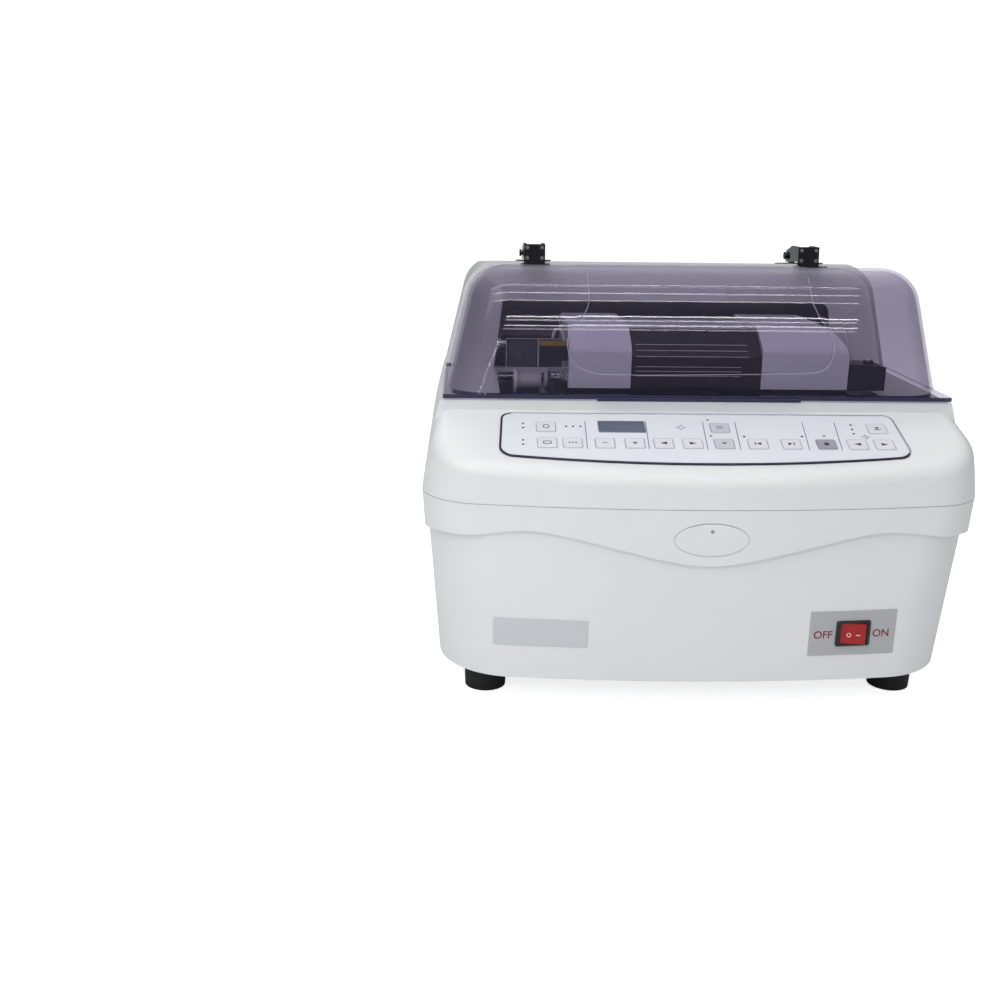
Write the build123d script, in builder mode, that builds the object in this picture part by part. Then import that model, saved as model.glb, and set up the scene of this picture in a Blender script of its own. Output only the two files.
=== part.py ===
from build123d import *
import os
from math import asin, atan2, cos, radians, sin, sqrt, tan

os.makedirs("parts", exist_ok=True)

# Optical lens edger for a bench: a white housing under a smoky hinged lid, with a
# swinging lens carriage over a grinding wheel set.
# Millimetres. X runs along the front, Y towards the back, Z up. The origin is the
# middle of the footprint, on the bench. "depth" is the distance from the front.

# ---------------------------------------------------------------- driving sizes
WIDTH = 530.0             # widest place, at the seam between base and upper cover
DEPTH = 430.0             # front of the housing to the tips of the rear fittings
SHELL_DEPTH = 418.0       # front of the housing to its rear wall
FOOT_HEIGHT = 27.0
PLATE = 3.0               # steel chassis plate
SEAM_Z = 201.2            # parting line of base and upper cover
SEAM_GROOVE = 0.8
DECK_Z = 280.5            # flat top of the upper cover, under the lid
WALL = 4.0                # moulded housings
LID_WALL = 3.0
BOW_RADIUS = 1300.0       # bow of the front, in plan
CORNER = 60.0             # front corners at the seam, in plan

PANEL_SLOPE = 22.0        # control panel, degrees from level
BROW_Z = 230.1            # slope carried on to the front, before its rounding
PANEL_DEPTH = 36.0        # reference point of the panel on the slope

LID_FRONT = 103.5         # foot of the lid's front
LID_REAR = 286.5
LID_LOW = 287.0
HOOD_FRONT = 291.0
SIDE_LEAN = 0.24          # lid and hood sides lean in by this much per mm of height
PIN_DEPTH, PIN_Z = 335.0, 404.5      # lid hinge axis
HINGE_X = 150.0

PIVOT_DEPTH, PIVOT_Z = 345.0, 300.0  # carriage swings about this shaft
LENS_DEPTH, LENS_Z = 152.0, 295.0    # axis of the lens shafts
WHEEL_DEPTH, WHEEL_Z = 190.0, 225.0  # axis of the grinding wheels
MOTOR_DEPTH, MOTOR_Z = 345.0, 108.0
VISOR_DEPTH, VISOR_Z = 195.0, 300.0  # splash visor pivots
RAIL_Z = 262.0                       # guide rail under the pivot shaft
DRAIN_X, DRAIN_Z = -60.0, 118.0      # rear fittings
INLET_X, INLET_Z = -110.0, 118.0
MAINS_X, MAINS_Z = -160.0, 88.0

PIVOT_R = 10.0
RUN_FIT = 0.05            # radial clearance of turning and sliding fits
GAP = 0.3                 # clearance between faces that pass each other

BASE_Z = FOOT_HEIGHT + PLATE


def y_at(depth):
    """Y of a point that lies this far behind the front."""
    return depth - DEPTH / 2


def bow(x, radius=BOW_RADIUS):
    """How far the bowed front falls back at this X."""
    return radius - sqrt(radius**2 - x**2)


def across(depth, z, x=0.0):
    """Plane square to X through this point, for shafts and side profiles."""
    return Plane(origin=(x, y_at(depth), z), x_dir=(0, 1, 0), z_dir=(1, 0, 0))


def plan_face(z, half_width, front, rear, radius, corner, rear_corner=40.0):
    """Footprint of the housing at one height: bowed front, rounded corners."""
    back = bow(half_width, radius)
    with BuildSketch(Plane.XY.offset(z)) as footprint:
        with BuildLine():
            ThreePointArc(
                (-half_width, y_at(front) + back), (0, y_at(front)), (half_width, y_at(front) + back)
            )
            Polyline(
                (half_width, y_at(front) + back),
                (half_width, y_at(rear)),
                (-half_width, y_at(rear)),
                (-half_width, y_at(front) + back),
            )
        make_face()
        fillet(footprint.vertices().group_by(Axis.Y)[0], corner)
        fillet(footprint.vertices().group_by(Axis.Y)[-1], rear_corner)
    return footprint.sketch


def side_face(x, points, fillets=()):
    """Side profile in depth and height, at this X; fillets holds (index, radius)."""
    with BuildSketch(Plane(origin=(x, 0, 0), x_dir=(0, 1, 0), z_dir=(1, 0, 0))) as profile:
        with BuildLine():
            Polyline(*[(y_at(d), z) for d, z in points], close=True)
        make_face()
        for index, radius in fillets:
            corner = Vector(y_at(points[index][0]), points[index][1])
            fillet(profile.vertices().sort_by_distance(corner)[0], radius)
    return profile.sketch


def front_face(depth, points, fillets=()):
    """Front view profile in X and Z, at this depth, extruded towards the front."""
    with BuildSketch(Plane.XZ.offset(-y_at(depth))) as profile:
        with BuildLine():
            Polyline(*points, close=True)
        make_face()
        for index, radius in fillets:
            corner = Vector(*points[index])
            fillet(profile.vertices().sort_by_distance(corner)[0], radius)
    return profile.sketch


# ------------------------------------------------------------------ base housing
BASE_HALF_LOW, BASE_HALF_HIGH = 248.5, 262.0
BASE_FRONT_LOW, BASE_FRONT_HIGH = 7.5, 3.2
BASE_REAR_LOW, BASE_REAR_HIGH = 412.0, 415.5
BASE_BOW_LOW = 1500.0
BASE_CORNER_LOW, BASE_CORNER_HIGH = 78.0, 68.0
BAND_HALF_LOW, BAND_FRONT_LOW = 261.0, 1.6       # the band narrows towards its foot
BAND_LOW = 140.0
ELLIPSE_X, ELLIPSE_Z = 34.5, 16.2    # half sizes of the oval pad on the front
ELLIPSE_MID_Z = 172.5
WAVE = [(0, 147.0), (33, 150.5), (66.5, 157.8), (100, 165.8), (133, 173.2),
        (162, 177.0), (190, 175.2), (222, 170.5), (246, 169.5), (268, 163.0)]
SWITCH_X, SWITCH_Z = 141.5, 77.7


def base_form(inset=0.0):
    """Lower housing, drawn in towards the bottom; inset gives its hollow."""
    with BuildPart() as form:
        low = plan_face(BASE_Z, BASE_HALF_LOW - inset, BASE_FRONT_LOW + inset,
                        BASE_REAR_LOW - inset, BASE_BOW_LOW, BASE_CORNER_LOW - inset, 38.0 - inset)
        high = plan_face(SEAM_Z, BASE_HALF_HIGH - inset, BASE_FRONT_HIGH + inset,
                         BASE_REAR_HIGH - inset, BOW_RADIUS, BASE_CORNER_HIGH - inset, 38.0 - inset)
        loft([low, high], ruled=True)
    return form.part


def front_plane(x, z, proud=0.0):
    """Plane on the bowed lower front, facing out, with its X along the front."""
    height = (z - BASE_Z) / (SEAM_Z - BASE_Z)
    radius = BASE_BOW_LOW + (BOW_RADIUS - BASE_BOW_LOW) * height
    front = BASE_FRONT_LOW + (BASE_FRONT_HIGH - BASE_FRONT_LOW) * height
    turn = asin(x / radius)
    normal = Vector(sin(turn), -cos(turn), 0)
    surface = Vector(x, y_at(front) + bow(x, radius), z)
    return Plane(origin=surface + normal * proud, x_dir=(cos(turn), sin(turn), 0), z_dir=normal)


# The band stands proud of the lower housing and ends in a wave along the front.
with BuildPart() as band:
    foot = plan_face(BAND_LOW, BAND_HALF_LOW, BAND_FRONT_LOW, SHELL_DEPTH - 1.5, BOW_RADIUS, CORNER)
    loft([foot, plan_face(SEAM_Z, WIDTH / 2, 0, SHELL_DEPTH, BOW_RADIUS, CORNER)], ruled=True)
    with BuildSketch(Plane.XZ.offset(-y_at(150))) as wave:
        with BuildLine():
            mirrored = [(-x, z) for x, z in reversed(WAVE[1:])]
            Spline(*mirrored, *WAVE)
            Polyline(WAVE[-1], (268, 130), (-268, 130), mirrored[0])
        make_face()
    extrude(amount=200, mode=Mode.SUBTRACT)
    with Locations((0, y_at(150) + 150, BAND_LOW)):
        Box(600, 300, 2 * (WAVE[-1][1] - BAND_LOW), mode=Mode.SUBTRACT)

with BuildPart() as base_housing:
    add(base_form())
    add(band.part)
    add(base_form(WALL), mode=Mode.SUBTRACT)
    with BuildSketch(Plane.XZ.offset(-y_at(2.2))):
        with Locations((0, ELLIPSE_MID_Z)):
            Ellipse(ELLIPSE_X, ELLIPSE_Z)
            Ellipse(ELLIPSE_X - 1.0, ELLIPSE_Z - 1.0, mode=Mode.SUBTRACT)
    extrude(amount=10, mode=Mode.SUBTRACT)
    with Locations(Plane.XZ.offset(-y_at(0)) * Location((0, ELLIPSE_MID_Z + 8))):
        Cylinder(1.7, 9, mode=Mode.SUBTRACT)
    with BuildSketch(front_plane(SWITCH_X, SWITCH_Z, proud=5)):
        Rectangle(28, 22)
    extrude(amount=-20, mode=Mode.SUBTRACT)
    with BuildSketch(Plane.XZ.offset(-y_at(SHELL_DEPTH))):      # cooling slots in the rear
        with Locations((60, 120)):
            with GridLocations(7, 1, 14, 1):
                SlotOverall(46, 3.6, rotation=90)
    extrude(amount=14, mode=Mode.SUBTRACT)
    with BuildSketch(Plane.XZ.offset(-y_at(DEPTH))):            # rear fittings
        with Locations((DRAIN_X, DRAIN_Z)):
            Circle(12.8)
        with Locations((INLET_X, INLET_Z)):
            Circle(4.3)
        with Locations((MAINS_X, MAINS_Z)):
            RectangleRounded(28, 20.5, 3)
    extrude(amount=40, mode=Mode.SUBTRACT)
    groove = SEAM_Z - SEAM_GROOVE
    seam = plan_face(groove, WIDTH / 2 + 5, -5, SHELL_DEPTH + 5, BOW_RADIUS, CORNER + 5)
    inner = plan_face(groove, WIDTH / 2 - 1.2, 1.2, SHELL_DEPTH - 1.2, BOW_RADIUS, CORNER - 1.2)
    extrude(seam - inner, amount=SEAM_GROOVE + 1, mode=Mode.SUBTRACT)
base_housing.part.label = "base_housing"
export_step(base_housing.part, "parts/base_housing.step")

with BuildPart() as chassis_plate:
    extrude(plan_face(FOOT_HEIGHT, BASE_HALF_LOW - 9, BASE_FRONT_LOW + 10, BASE_REAR_LOW - 9,
                      BASE_BOW_LOW, BASE_CORNER_LOW - 10, 30), amount=PLATE)
chassis_plate.part.label = "chassis_plate"
export_step(chassis_plate.part, "parts/chassis_plate.step")

FOOT_X, FOOT_FRONT, FOOT_REAR = 203.0, 72.0, 360.0
with BuildPart() as rubber_feet:
    for depth in (FOOT_FRONT, FOOT_REAR):
        for x in (-FOOT_X, FOOT_X):
            with BuildSketch(Plane.XY):
                with Locations((x, y_at(depth))):
                    Circle(20)
            extrude(amount=FOOT_HEIGHT, taper=-2.5)
    with Locations(*[(x, y_at(d), 0) for d in (FOOT_FRONT, FOOT_REAR) for x in (-FOOT_X, FOOT_X)]):
        Hole(5.5, depth=6)
rubber_feet.part.label = "rubber_feet"
export_step(rubber_feet.part, "parts/rubber_feet.step")

# ------------------------------------------------------------------- upper cover
NECK_DEPTH = 102.0
BROW_ROUND = 17.5         # rounding all along the edge of the slope
SHOULDER_Z = 244.0
SLOPE = tan(radians(PANEL_SLOPE))
NECK_Z = BROW_Z + NECK_DEPTH * SLOPE
PANEL_Z = BROW_Z + PANEL_DEPTH * SLOPE
BAY_LEFT, BAY_RIGHT, BAY_FRONT = -190.0, 190.0, 120.0     # opening in the deck


def cover_block(inset=0.0):
    """Upper cover before its slope is cut: sides that lean in more towards the top."""
    low, top = SEAM_Z - inset, DECK_Z + 24
    with BuildPart() as block:
        loft([plan_face(z, half - inset, inset, SHELL_DEPTH - inset, BOW_RADIUS, CORNER - inset,
                        40 - inset)
              for z, half in ((low, WIDTH / 2), (SHOULDER_Z, 257.8), (top, 240.5))])
    return block.part


def cover_form(inset=0.0):
    """Upper cover: rounded brow, panel slope, short neck and flat deck."""
    block = cover_block(inset)
    drop = inset / cos(radians(PANEL_SLOPE))
    with BuildPart() as slope_part:
        add(block)
        above = [(-60, BROW_Z - 60 * SLOPE - drop), (260, BROW_Z + 260 * SLOPE - drop), (-60, 420)]
        extrude(side_face(-WIDTH, above), amount=2 * WIDTH, mode=Mode.SUBTRACT)
        slope = slope_part.faces().sort_by_distance(Vector(0, y_at(60), BROW_Z + 60 * SLOPE - drop))[0]
        top_edge = slope.edges().sort_by(Axis.Z)[-1]
        fillet([edge for edge in slope.edges() if edge != top_edge], BROW_ROUND - inset)
        with Locations((0, y_at(NECK_DEPTH + inset) + 400, 0)):
            Box(800, 800, 1600, mode=Mode.SUBTRACT)
    with BuildPart() as form:
        add(block)
        with Locations((0, y_at(NECK_DEPTH + inset) - 400, 0)):
            Box(800, 800, 1600, mode=Mode.SUBTRACT)
        with Locations((0, 0, DECK_Z - inset + 100)):
            Box(800, 800, 200, mode=Mode.SUBTRACT)
        add(slope_part.part)
    return form.part


panel_plane = Plane(
    origin=(0, y_at(PANEL_DEPTH), PANEL_Z),
    x_dir=(1, 0, 0),
    z_dir=(0, -sin(radians(PANEL_SLOPE)), cos(radians(PANEL_SLOPE))),
)
PANEL_TOP, PANEL_LOW = 64.1, -18.3     # along the slope from the reference point
PANEL_MID = -2.0                       # middle of the panel's plate
PANEL_PROUD, PANEL_SUNK = 1.2, 2.0


def panel_outline(inset=0.0):
    """Outline of the control panel: straight top, bowed foot, rounded corners."""
    low_half, top_half = 191.5, 188.0
    with BuildSketch(panel_plane) as outline:
        with BuildLine():
            edge = [(PANEL_MID + low_half, -5), (PANEL_MID + top_half, PANEL_TOP),
                    (PANEL_MID - top_half, PANEL_TOP), (PANEL_MID - low_half, -5)]
            Polyline(*edge)
            ThreePointArc(edge[-1], (PANEL_MID, PANEL_LOW), edge[0])
        make_face()
        fillet(outline.vertices().group_by(Axis.Y)[-1], 10)
        fillet(outline.vertices().group_by(Axis.Y)[0], 15)
        if inset:
            offset(amount=-inset, mode=Mode.REPLACE)
    return outline.sketch


with BuildPart() as upper_cover:
    add(cover_form())
    add(cover_form(WALL), mode=Mode.SUBTRACT)
    with BuildSketch(Plane.XY.offset(DECK_Z - 10)):            # wet and dry bays
        with Locations(((BAY_LEFT + BAY_RIGHT) / 2, y_at((BAY_FRONT + HOOD_FRONT) / 2))):
            RectangleRounded(BAY_RIGHT - BAY_LEFT, HOOD_FRONT - BAY_FRONT, 12)
    extrude(amount=20, mode=Mode.SUBTRACT)
    with BuildSketch(Plane.XY.offset(DECK_Z - 10)):            # carriage pivot bay
        with Locations((0, y_at(352))):
            RectangleRounded(432, 96, 12)
    extrude(amount=20, mode=Mode.SUBTRACT)
    extrude(panel_outline(), amount=10, mode=Mode.SUBTRACT)
    extrude(panel_outline(), amount=-PANEL_SUNK, mode=Mode.SUBTRACT)
    extrude(panel_outline(7.0), amount=-12, mode=Mode.SUBTRACT)
upper_cover.part.label = "upper_cover"
export_step(upper_cover.part, "parts/upper_cover.step")

# -------------------------------------------------------- control panel and keys
KEY_W, KEY_H, KEY_R = 17.6, 15.2, 1.8
KEY_PROUD, KEY_DEEP = 1.9, 4.6
KEY_SLACK = 0.3
UPPER_ROW, LOWER_ROW = 40.4, 14.2
KEYS = {
    "lens": (-148.2, UPPER_ROW), "frame": (-148.2, LOWER_ROW), "mode": (-124.7, LOWER_ROW),
    "size_down": (-94.6, LOWER_ROW), "size_up": (-66.8, LOWER_ROW),
    "width_down": (-40.1, LOWER_ROW), "width_up": (-13.1, LOWER_ROW),
    "test": (16.3, UPPER_ROW), "lower": (16.3, LOWER_ROW),
    "start_left": (47.7, LOWER_ROW), "start_right": (79.0, LOWER_ROW), "stop": (111.9, LOWER_ROW),
    "press": (166.4, UPPER_ROW), "chuck_close": (141.2, LOWER_ROW), "chuck_open": (166.4, LOWER_ROW),
}
DISPLAY_X, DISPLAY_S, DISPLAY_W, DISPLAY_H = -76.6, 41.4, 43.1, 17.6

with BuildPart() as control_panel:
    extrude(panel_outline(0.25), amount=PANEL_PROUD)
    extrude(panel_outline(0.25), amount=-PANEL_SUNK)
    with BuildSketch(panel_plane.offset(PANEL_PROUD)):
        with Locations(*KEYS.values()):
            RectangleRounded(KEY_W + 2 * KEY_SLACK, KEY_H + 2 * KEY_SLACK, KEY_R + KEY_SLACK)
    extrude(amount=-10, mode=Mode.SUBTRACT)
    with BuildSketch(panel_plane.offset(PANEL_PROUD)):
        with Locations((DISPLAY_X, DISPLAY_S)):
            Rectangle(DISPLAY_W, DISPLAY_H)
    extrude(amount=-1.0, mode=Mode.SUBTRACT)
control_panel.part.label = "control_panel"
export_step(control_panel.part, "parts/control_panel.step")

with BuildPart() as display_window:
    with BuildSketch(panel_plane.offset(PANEL_PROUD - 1.0)):
        with Locations((DISPLAY_X, DISPLAY_S)):
            Rectangle(DISPLAY_W - 0.2, DISPLAY_H - 0.2)
    extrude(amount=0.9)
display_window.part.label = "display_window"
export_step(display_window.part, "parts/display_window.step")

for key_name, (key_x, key_s) in KEYS.items():
    with BuildPart() as key:
        with BuildSketch(panel_plane.offset(KEY_PROUD)):
            with Locations((key_x, key_s)):
                RectangleRounded(KEY_W, KEY_H, KEY_R)
        extrude(amount=-KEY_DEEP)
        chamfer(key.faces().sort_by(Axis(panel_plane.origin, panel_plane.z_dir))[-1].edges(), 0.5)
    key.part.label = f"key_{key_name}"
    export_step(key.part, f"parts/key_{key_name}.step")

# ------------------------------------------------------------------ power switch
BEZEL_W, BEZEL_H = 33.5, 25.3
WELL_W, WELL_H = 26.0, 20.6           # well that the rocker turns in
ROCKER_R = 12.6                       # the rocker's back is round about its pivot
ROCKER_SET = -1.0                     # pivot behind the housing's surface
ROCKER_TILT = 10.0
switch_plane = front_plane(SWITCH_X, SWITCH_Z)

with BuildPart() as switch_bezel:
    with BuildSketch(switch_plane.offset(0.4)):
        RectangleRounded(BEZEL_W, BEZEL_H, 2)
    extrude(amount=2.6)
    chamfer(switch_bezel.faces().sort_by(Axis(switch_plane.origin, switch_plane.z_dir))[-1].edges(), 1.2)
    with BuildSketch(switch_plane.offset(0.4)):
        Rectangle(27.4, 21.6)
    extrude(amount=-22)
    with BuildSketch(switch_plane.offset(5)):
        Rectangle(WELL_W, WELL_H)
    extrude(amount=-5 + ROCKER_SET - 13.4, mode=Mode.SUBTRACT)
switch_bezel.part.label = "switch_bezel"
export_step(switch_bezel.part, "parts/switch_bezel.step")

rocker_plane = Plane(
    origin=switch_plane.origin + switch_plane.z_dir * ROCKER_SET - switch_plane.y_dir * (WELL_H / 2 - 0.3),
    x_dir=switch_plane.x_dir,
    z_dir=switch_plane.y_dir,
)
with BuildPart() as power_rocker:
    with BuildSketch(rocker_plane) as section:
        Circle(ROCKER_R)
        with BuildLine():
            rise = 12 * tan(radians(ROCKER_TILT))
            face = -4.2           # the front lies on the far side of the pivot
            Polyline((-20, face + rise * 20 / 12), (20, face - rise * 20 / 12), (20, -20), (-20, -20),
                     (-20, face + rise * 20 / 12))
        make_face(mode=Mode.SUBTRACT)
    extrude(amount=WELL_H - 0.6)
power_rocker.part.label = "power_rocker"
export_step(power_rocker.part, "parts/power_rocker.step")

# --------------------------------------------------------------------- rear hood
LID_HALF = 242.3          # lid's half width at this height
LID_HALF_Z = 289.0
HOOD_STEP = 3.0           # the hood stands proud of the lid all round


def arch_points(low, top, grow):
    """Front view of lid or hood: sides that lean in, flat top."""
    def half(z):
        return LID_HALF + grow - SIDE_LEAN * (z - LID_HALF_Z)
    return [(-half(low), low), (half(low), low), (half(top), top), (-half(top), top)]


def hood_form(inset=0.0):
    low = DECK_Z - (10 if inset else 0)
    with BuildPart() as form:
        outline = front_face(SHELL_DEPTH + 5, arch_points(low, 400 - inset, HOOD_STEP - inset),
                             [(2, 45 - inset), (3, 45 - inset)])
        extrude(outline, amount=SHELL_DEPTH + 5 - HOOD_FRONT - inset)
        side = [(HOOD_FRONT + inset, low), (HOOD_FRONT + inset, 398.5 - inset),
                (408 - inset, 389.3 - inset), (416 - inset, low)]
        extrude(side_face(-WIDTH / 2, side, [(2, 32 - inset)]), amount=WIDTH, mode=Mode.INTERSECT)
    return form.part


SLOT_LEFT, SLOT_RIGHT, SLOT_TOP = -184.0, 178.0, 356.0
with BuildPart() as rear_hood:
    add(hood_form())
    add(hood_form(WALL), mode=Mode.SUBTRACT)
    slot = [(SLOT_LEFT - 9, DECK_Z - 1), (SLOT_RIGHT + 5, DECK_Z - 1), (SLOT_RIGHT, SLOT_TOP),
            (SLOT_LEFT, SLOT_TOP)]
    extrude(front_face(HOOD_FRONT + 10, slot, [(2, 12), (3, 3)]), amount=20, mode=Mode.SUBTRACT)
rear_hood.part.label = "rear_hood"
export_step(rear_hood.part, "parts/rear_hood.step")

# --------------------------------------------------------------------------- lid
LID_TOP_RISE = 408.0      # top line carried on to the front face
LID_TOP_REAR = 394.6
LID_ROUND = 40.0          # front corners, brow and shoulders of the dome
FLANGE_LOW, FLANGE_HALF, FLANGE_FRONT = 282.8, 245.7, 97.8
TAB_HALF = 98.0


def dome_form(inset=0.0, grow=0.0):
    """Outer or inner form of the lid: leaning walls, rounded corners and brow, flat top."""
    low = LID_LOW - (10 if inset else 0)
    out = grow - inset
    rear = LID_REAR + (5 if inset else 0)
    with BuildPart() as form:
        extrude(front_face(rear, arch_points(low, LID_TOP_RISE + 20, out)), amount=rear - LID_FRONT + 20)
        side = [(LID_FRONT - out - 0.103 * (LID_LOW - low), low),
                (LID_FRONT - out + 12.5, LID_TOP_RISE + out), (rear, LID_TOP_REAR + out), (rear, low)]
        extrude(side_face(-WIDTH / 2, side), amount=WIDTH, mode=Mode.INTERSECT)
        bottom_and_rear = form.faces().sort_by(Axis.Z)[0].edges() + form.faces().sort_by(Axis.Y)[-1].edges()
        fillet([edge for edge in form.edges() if edge not in bottom_and_rear], LID_ROUND + out)
    return form.part


with BuildPart() as pad_zone:                 # bell-shaped raised pad on the lid
    bell = [(-107, 450), (-107, 376), (-128, 346), (-128, 314), (128, 314), (128, 346), (107, 376),
            (107, 450)]
    extrude(front_face(LID_REAR, bell, [(1, 14), (2, 12), (3, 16), (4, 16), (5, 12), (6, 14)]),
            amount=LID_REAR)

with BuildPart() as raised_pad:
    add(dome_form(grow=0.7))
    add(pad_zone.part, mode=Mode.INTERSECT)

with BuildPart() as lid_dome:
    add(dome_form())
    add(raised_pad.part)
    with BuildSketch(Plane.XY.offset(FLANGE_LOW)):        # square-cornered foot flange
        with Locations((0, y_at((FLANGE_FRONT + LID_REAR) / 2))):
            Rectangle(2 * FLANGE_HALF, LID_REAR - FLANGE_FRONT)
    extrude(amount=LID_LOW - FLANGE_LOW)
    with BuildSketch(Plane.XY.offset(FLANGE_LOW - 1.4)):  # finger tab along the front
        with Locations((0, y_at(FLANGE_FRONT + 1))):
            Rectangle(2 * TAB_HALF, 8)
    extrude(amount=3.4)
    add(dome_form(LID_WALL), mode=Mode.SUBTRACT)
lid_dome.part.label = "lid_dome"
export_step(lid_dome.part, "parts/lid_dome.step")

# ------------------------------------------------------------------- lid hinges
BRACKET_HALF, CHEEK = 11.5, 3.0
BRACKET_FRONT, BRACKET_TOP, BRACKET_LOW = 286.8, 416.5, 394.7
HOOD_FALL = (398.5 - 389.3) / (408 - HOOD_FRONT)      # slope of the hood's top


def hood_top(depth):
    return 398.5 - (depth - HOOD_FRONT) * HOOD_FALL


with BuildPart() as hinge_brackets:
    for hinge_x in (-HINGE_X, HINGE_X):
        left = hinge_x - BRACKET_HALF
        tail = PIN_DEPTH + 5
        block = [(BRACKET_FRONT, BRACKET_LOW), (BRACKET_FRONT + 2.5, BRACKET_TOP),
                 (BRACKET_FRONT + 29, BRACKET_TOP), (tail, PIN_Z + 5), (tail, hood_top(tail) + 2.4),
                 (HOOD_FRONT - 0.8, hood_top(HOOD_FRONT) + 2.4), (HOOD_FRONT - 0.8, BRACKET_LOW)]
        extrude(side_face(left, block, [(2, 12), (3, 4), (4, 5)]), amount=2 * BRACKET_HALF)
        hollow = [(BRACKET_FRONT + 5, BRACKET_LOW - 1), (BRACKET_FRONT + 6.2, BRACKET_TOP + 1),
                  (tail + 4, BRACKET_TOP + 1), (tail + 4, BRACKET_LOW - 1)]
        extrude(side_face(left + CHEEK, hollow), amount=2 * (BRACKET_HALF - CHEEK), mode=Mode.SUBTRACT)
        foot = [(BRACKET_FRONT - 19, 396.4), (BRACKET_FRONT - 19, 397.6),
                (BRACKET_FRONT + 1, 396.6), (BRACKET_FRONT + 1, 394.7)]
        extrude(side_face(left - 4, foot), amount=2 * BRACKET_HALF + 8)
        with BuildSketch(across(PIN_DEPTH, PIN_Z, left - 1)):
            Circle(2.5 + RUN_FIT)
        extrude(amount=2 * BRACKET_HALF + 2, mode=Mode.SUBTRACT)
    add(lid_dome.part, mode=Mode.SUBTRACT)
hinge_brackets.part.label = "hinge_brackets"
export_step(hinge_brackets.part, "parts/hinge_brackets.step")

with BuildPart() as bracket_screws:
    for hinge_x in (-HINGE_X, HINGE_X):
        slant = atan2(2.5, BRACKET_TOP - BRACKET_LOW)
        face = BRACKET_FRONT + 2.5 * (407.5 - BRACKET_LOW) / (BRACKET_TOP - BRACKET_LOW)
        lean = Plane(origin=(hinge_x, y_at(face), 407.5),
                     x_dir=(1, 0, 0), z_dir=(0, -cos(slant), sin(slant)))
        with BuildSketch(lean):
            with GridLocations(16, 11, 2, 2):
                Circle(2.0)
        extrude(amount=1.4)
bracket_screws.part.label = "bracket_screws"
export_step(bracket_screws.part, "parts/bracket_screws.step")

LEAF_Z = hood_top(PIN_DEPTH)
with BuildPart() as hinge_leaves:
    for hinge_x in (-HINGE_X, HINGE_X):
        ends = (HOOD_FRONT + 3, HOOD_FRONT + 68)
        leaf = [(ends[0], hood_top(ends[0])), (ends[0], hood_top(ends[0]) + 1.5),
                (ends[1], hood_top(ends[1]) + 1.5), (ends[1], hood_top(ends[1]))]
        extrude(side_face(hinge_x - 18, leaf), amount=36)
        post = [(PIN_DEPTH - 6, LEAF_Z - 0.2), (PIN_DEPTH - 6, PIN_Z), (PIN_DEPTH + 6, PIN_Z),
                (PIN_DEPTH + 6, LEAF_Z - 0.8)]
        for knuckle_x in (hinge_x - 7.5, hinge_x + 3.5):
            extrude(side_face(knuckle_x, post), amount=4)
            with BuildSketch(across(PIN_DEPTH, PIN_Z, knuckle_x)):
                Circle(6)
            extrude(amount=4)
        with BuildSketch(across(PIN_DEPTH, PIN_Z, hinge_x - BRACKET_HALF - 1.5)):
            Circle(2.5)
        extrude(amount=2 * BRACKET_HALF + 3)
        with BuildSketch(across(PIN_DEPTH, PIN_Z, hinge_x - BRACKET_HALF - 3)):
            Circle(4)
        extrude(amount=2)
    with Locations(*[(sx * HINGE_X + dx, y_at(HOOD_FRONT + d), 400) for sx in (-1, 1)
                     for dx in (-14.5, 14.5) for d in (8, 60)]):
        Hole(1.7, depth=8)
    add(rear_hood.part, mode=Mode.SUBTRACT)
hinge_leaves.part.label = "hinge_leaves"
export_step(hinge_leaves.part, "parts/hinge_leaves.step")

with BuildPart() as hinge_springs:            # torsion springs, drawn as wound sleeves
    for hinge_x in (-HINGE_X, HINGE_X):
        with BuildSketch(across(PIN_DEPTH, PIN_Z, hinge_x - 3.3)):
            Circle(5)
            Circle(3, mode=Mode.SUBTRACT)
        extrude(amount=6.6)
hinge_springs.part.label = "hinge_springs"
export_step(hinge_springs.part, "parts/hinge_springs.step")

# ------------------------------------------------- frame, wheel spindle and motor
FRAME_RIGHT, FRAME_LEFT, UPRIGHT = 180.0, -206.0, 26.0
LEFT_UPRIGHT = 16.0
SPINDLE_R, JOURNAL_R, BEARING_R = 14.0, 12.5, 20.0
RAIL_R = 5.0
SHOE_X, SHOE_STEM, SHOE_FLOOR = -162.0, 7.0, 200.0

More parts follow.
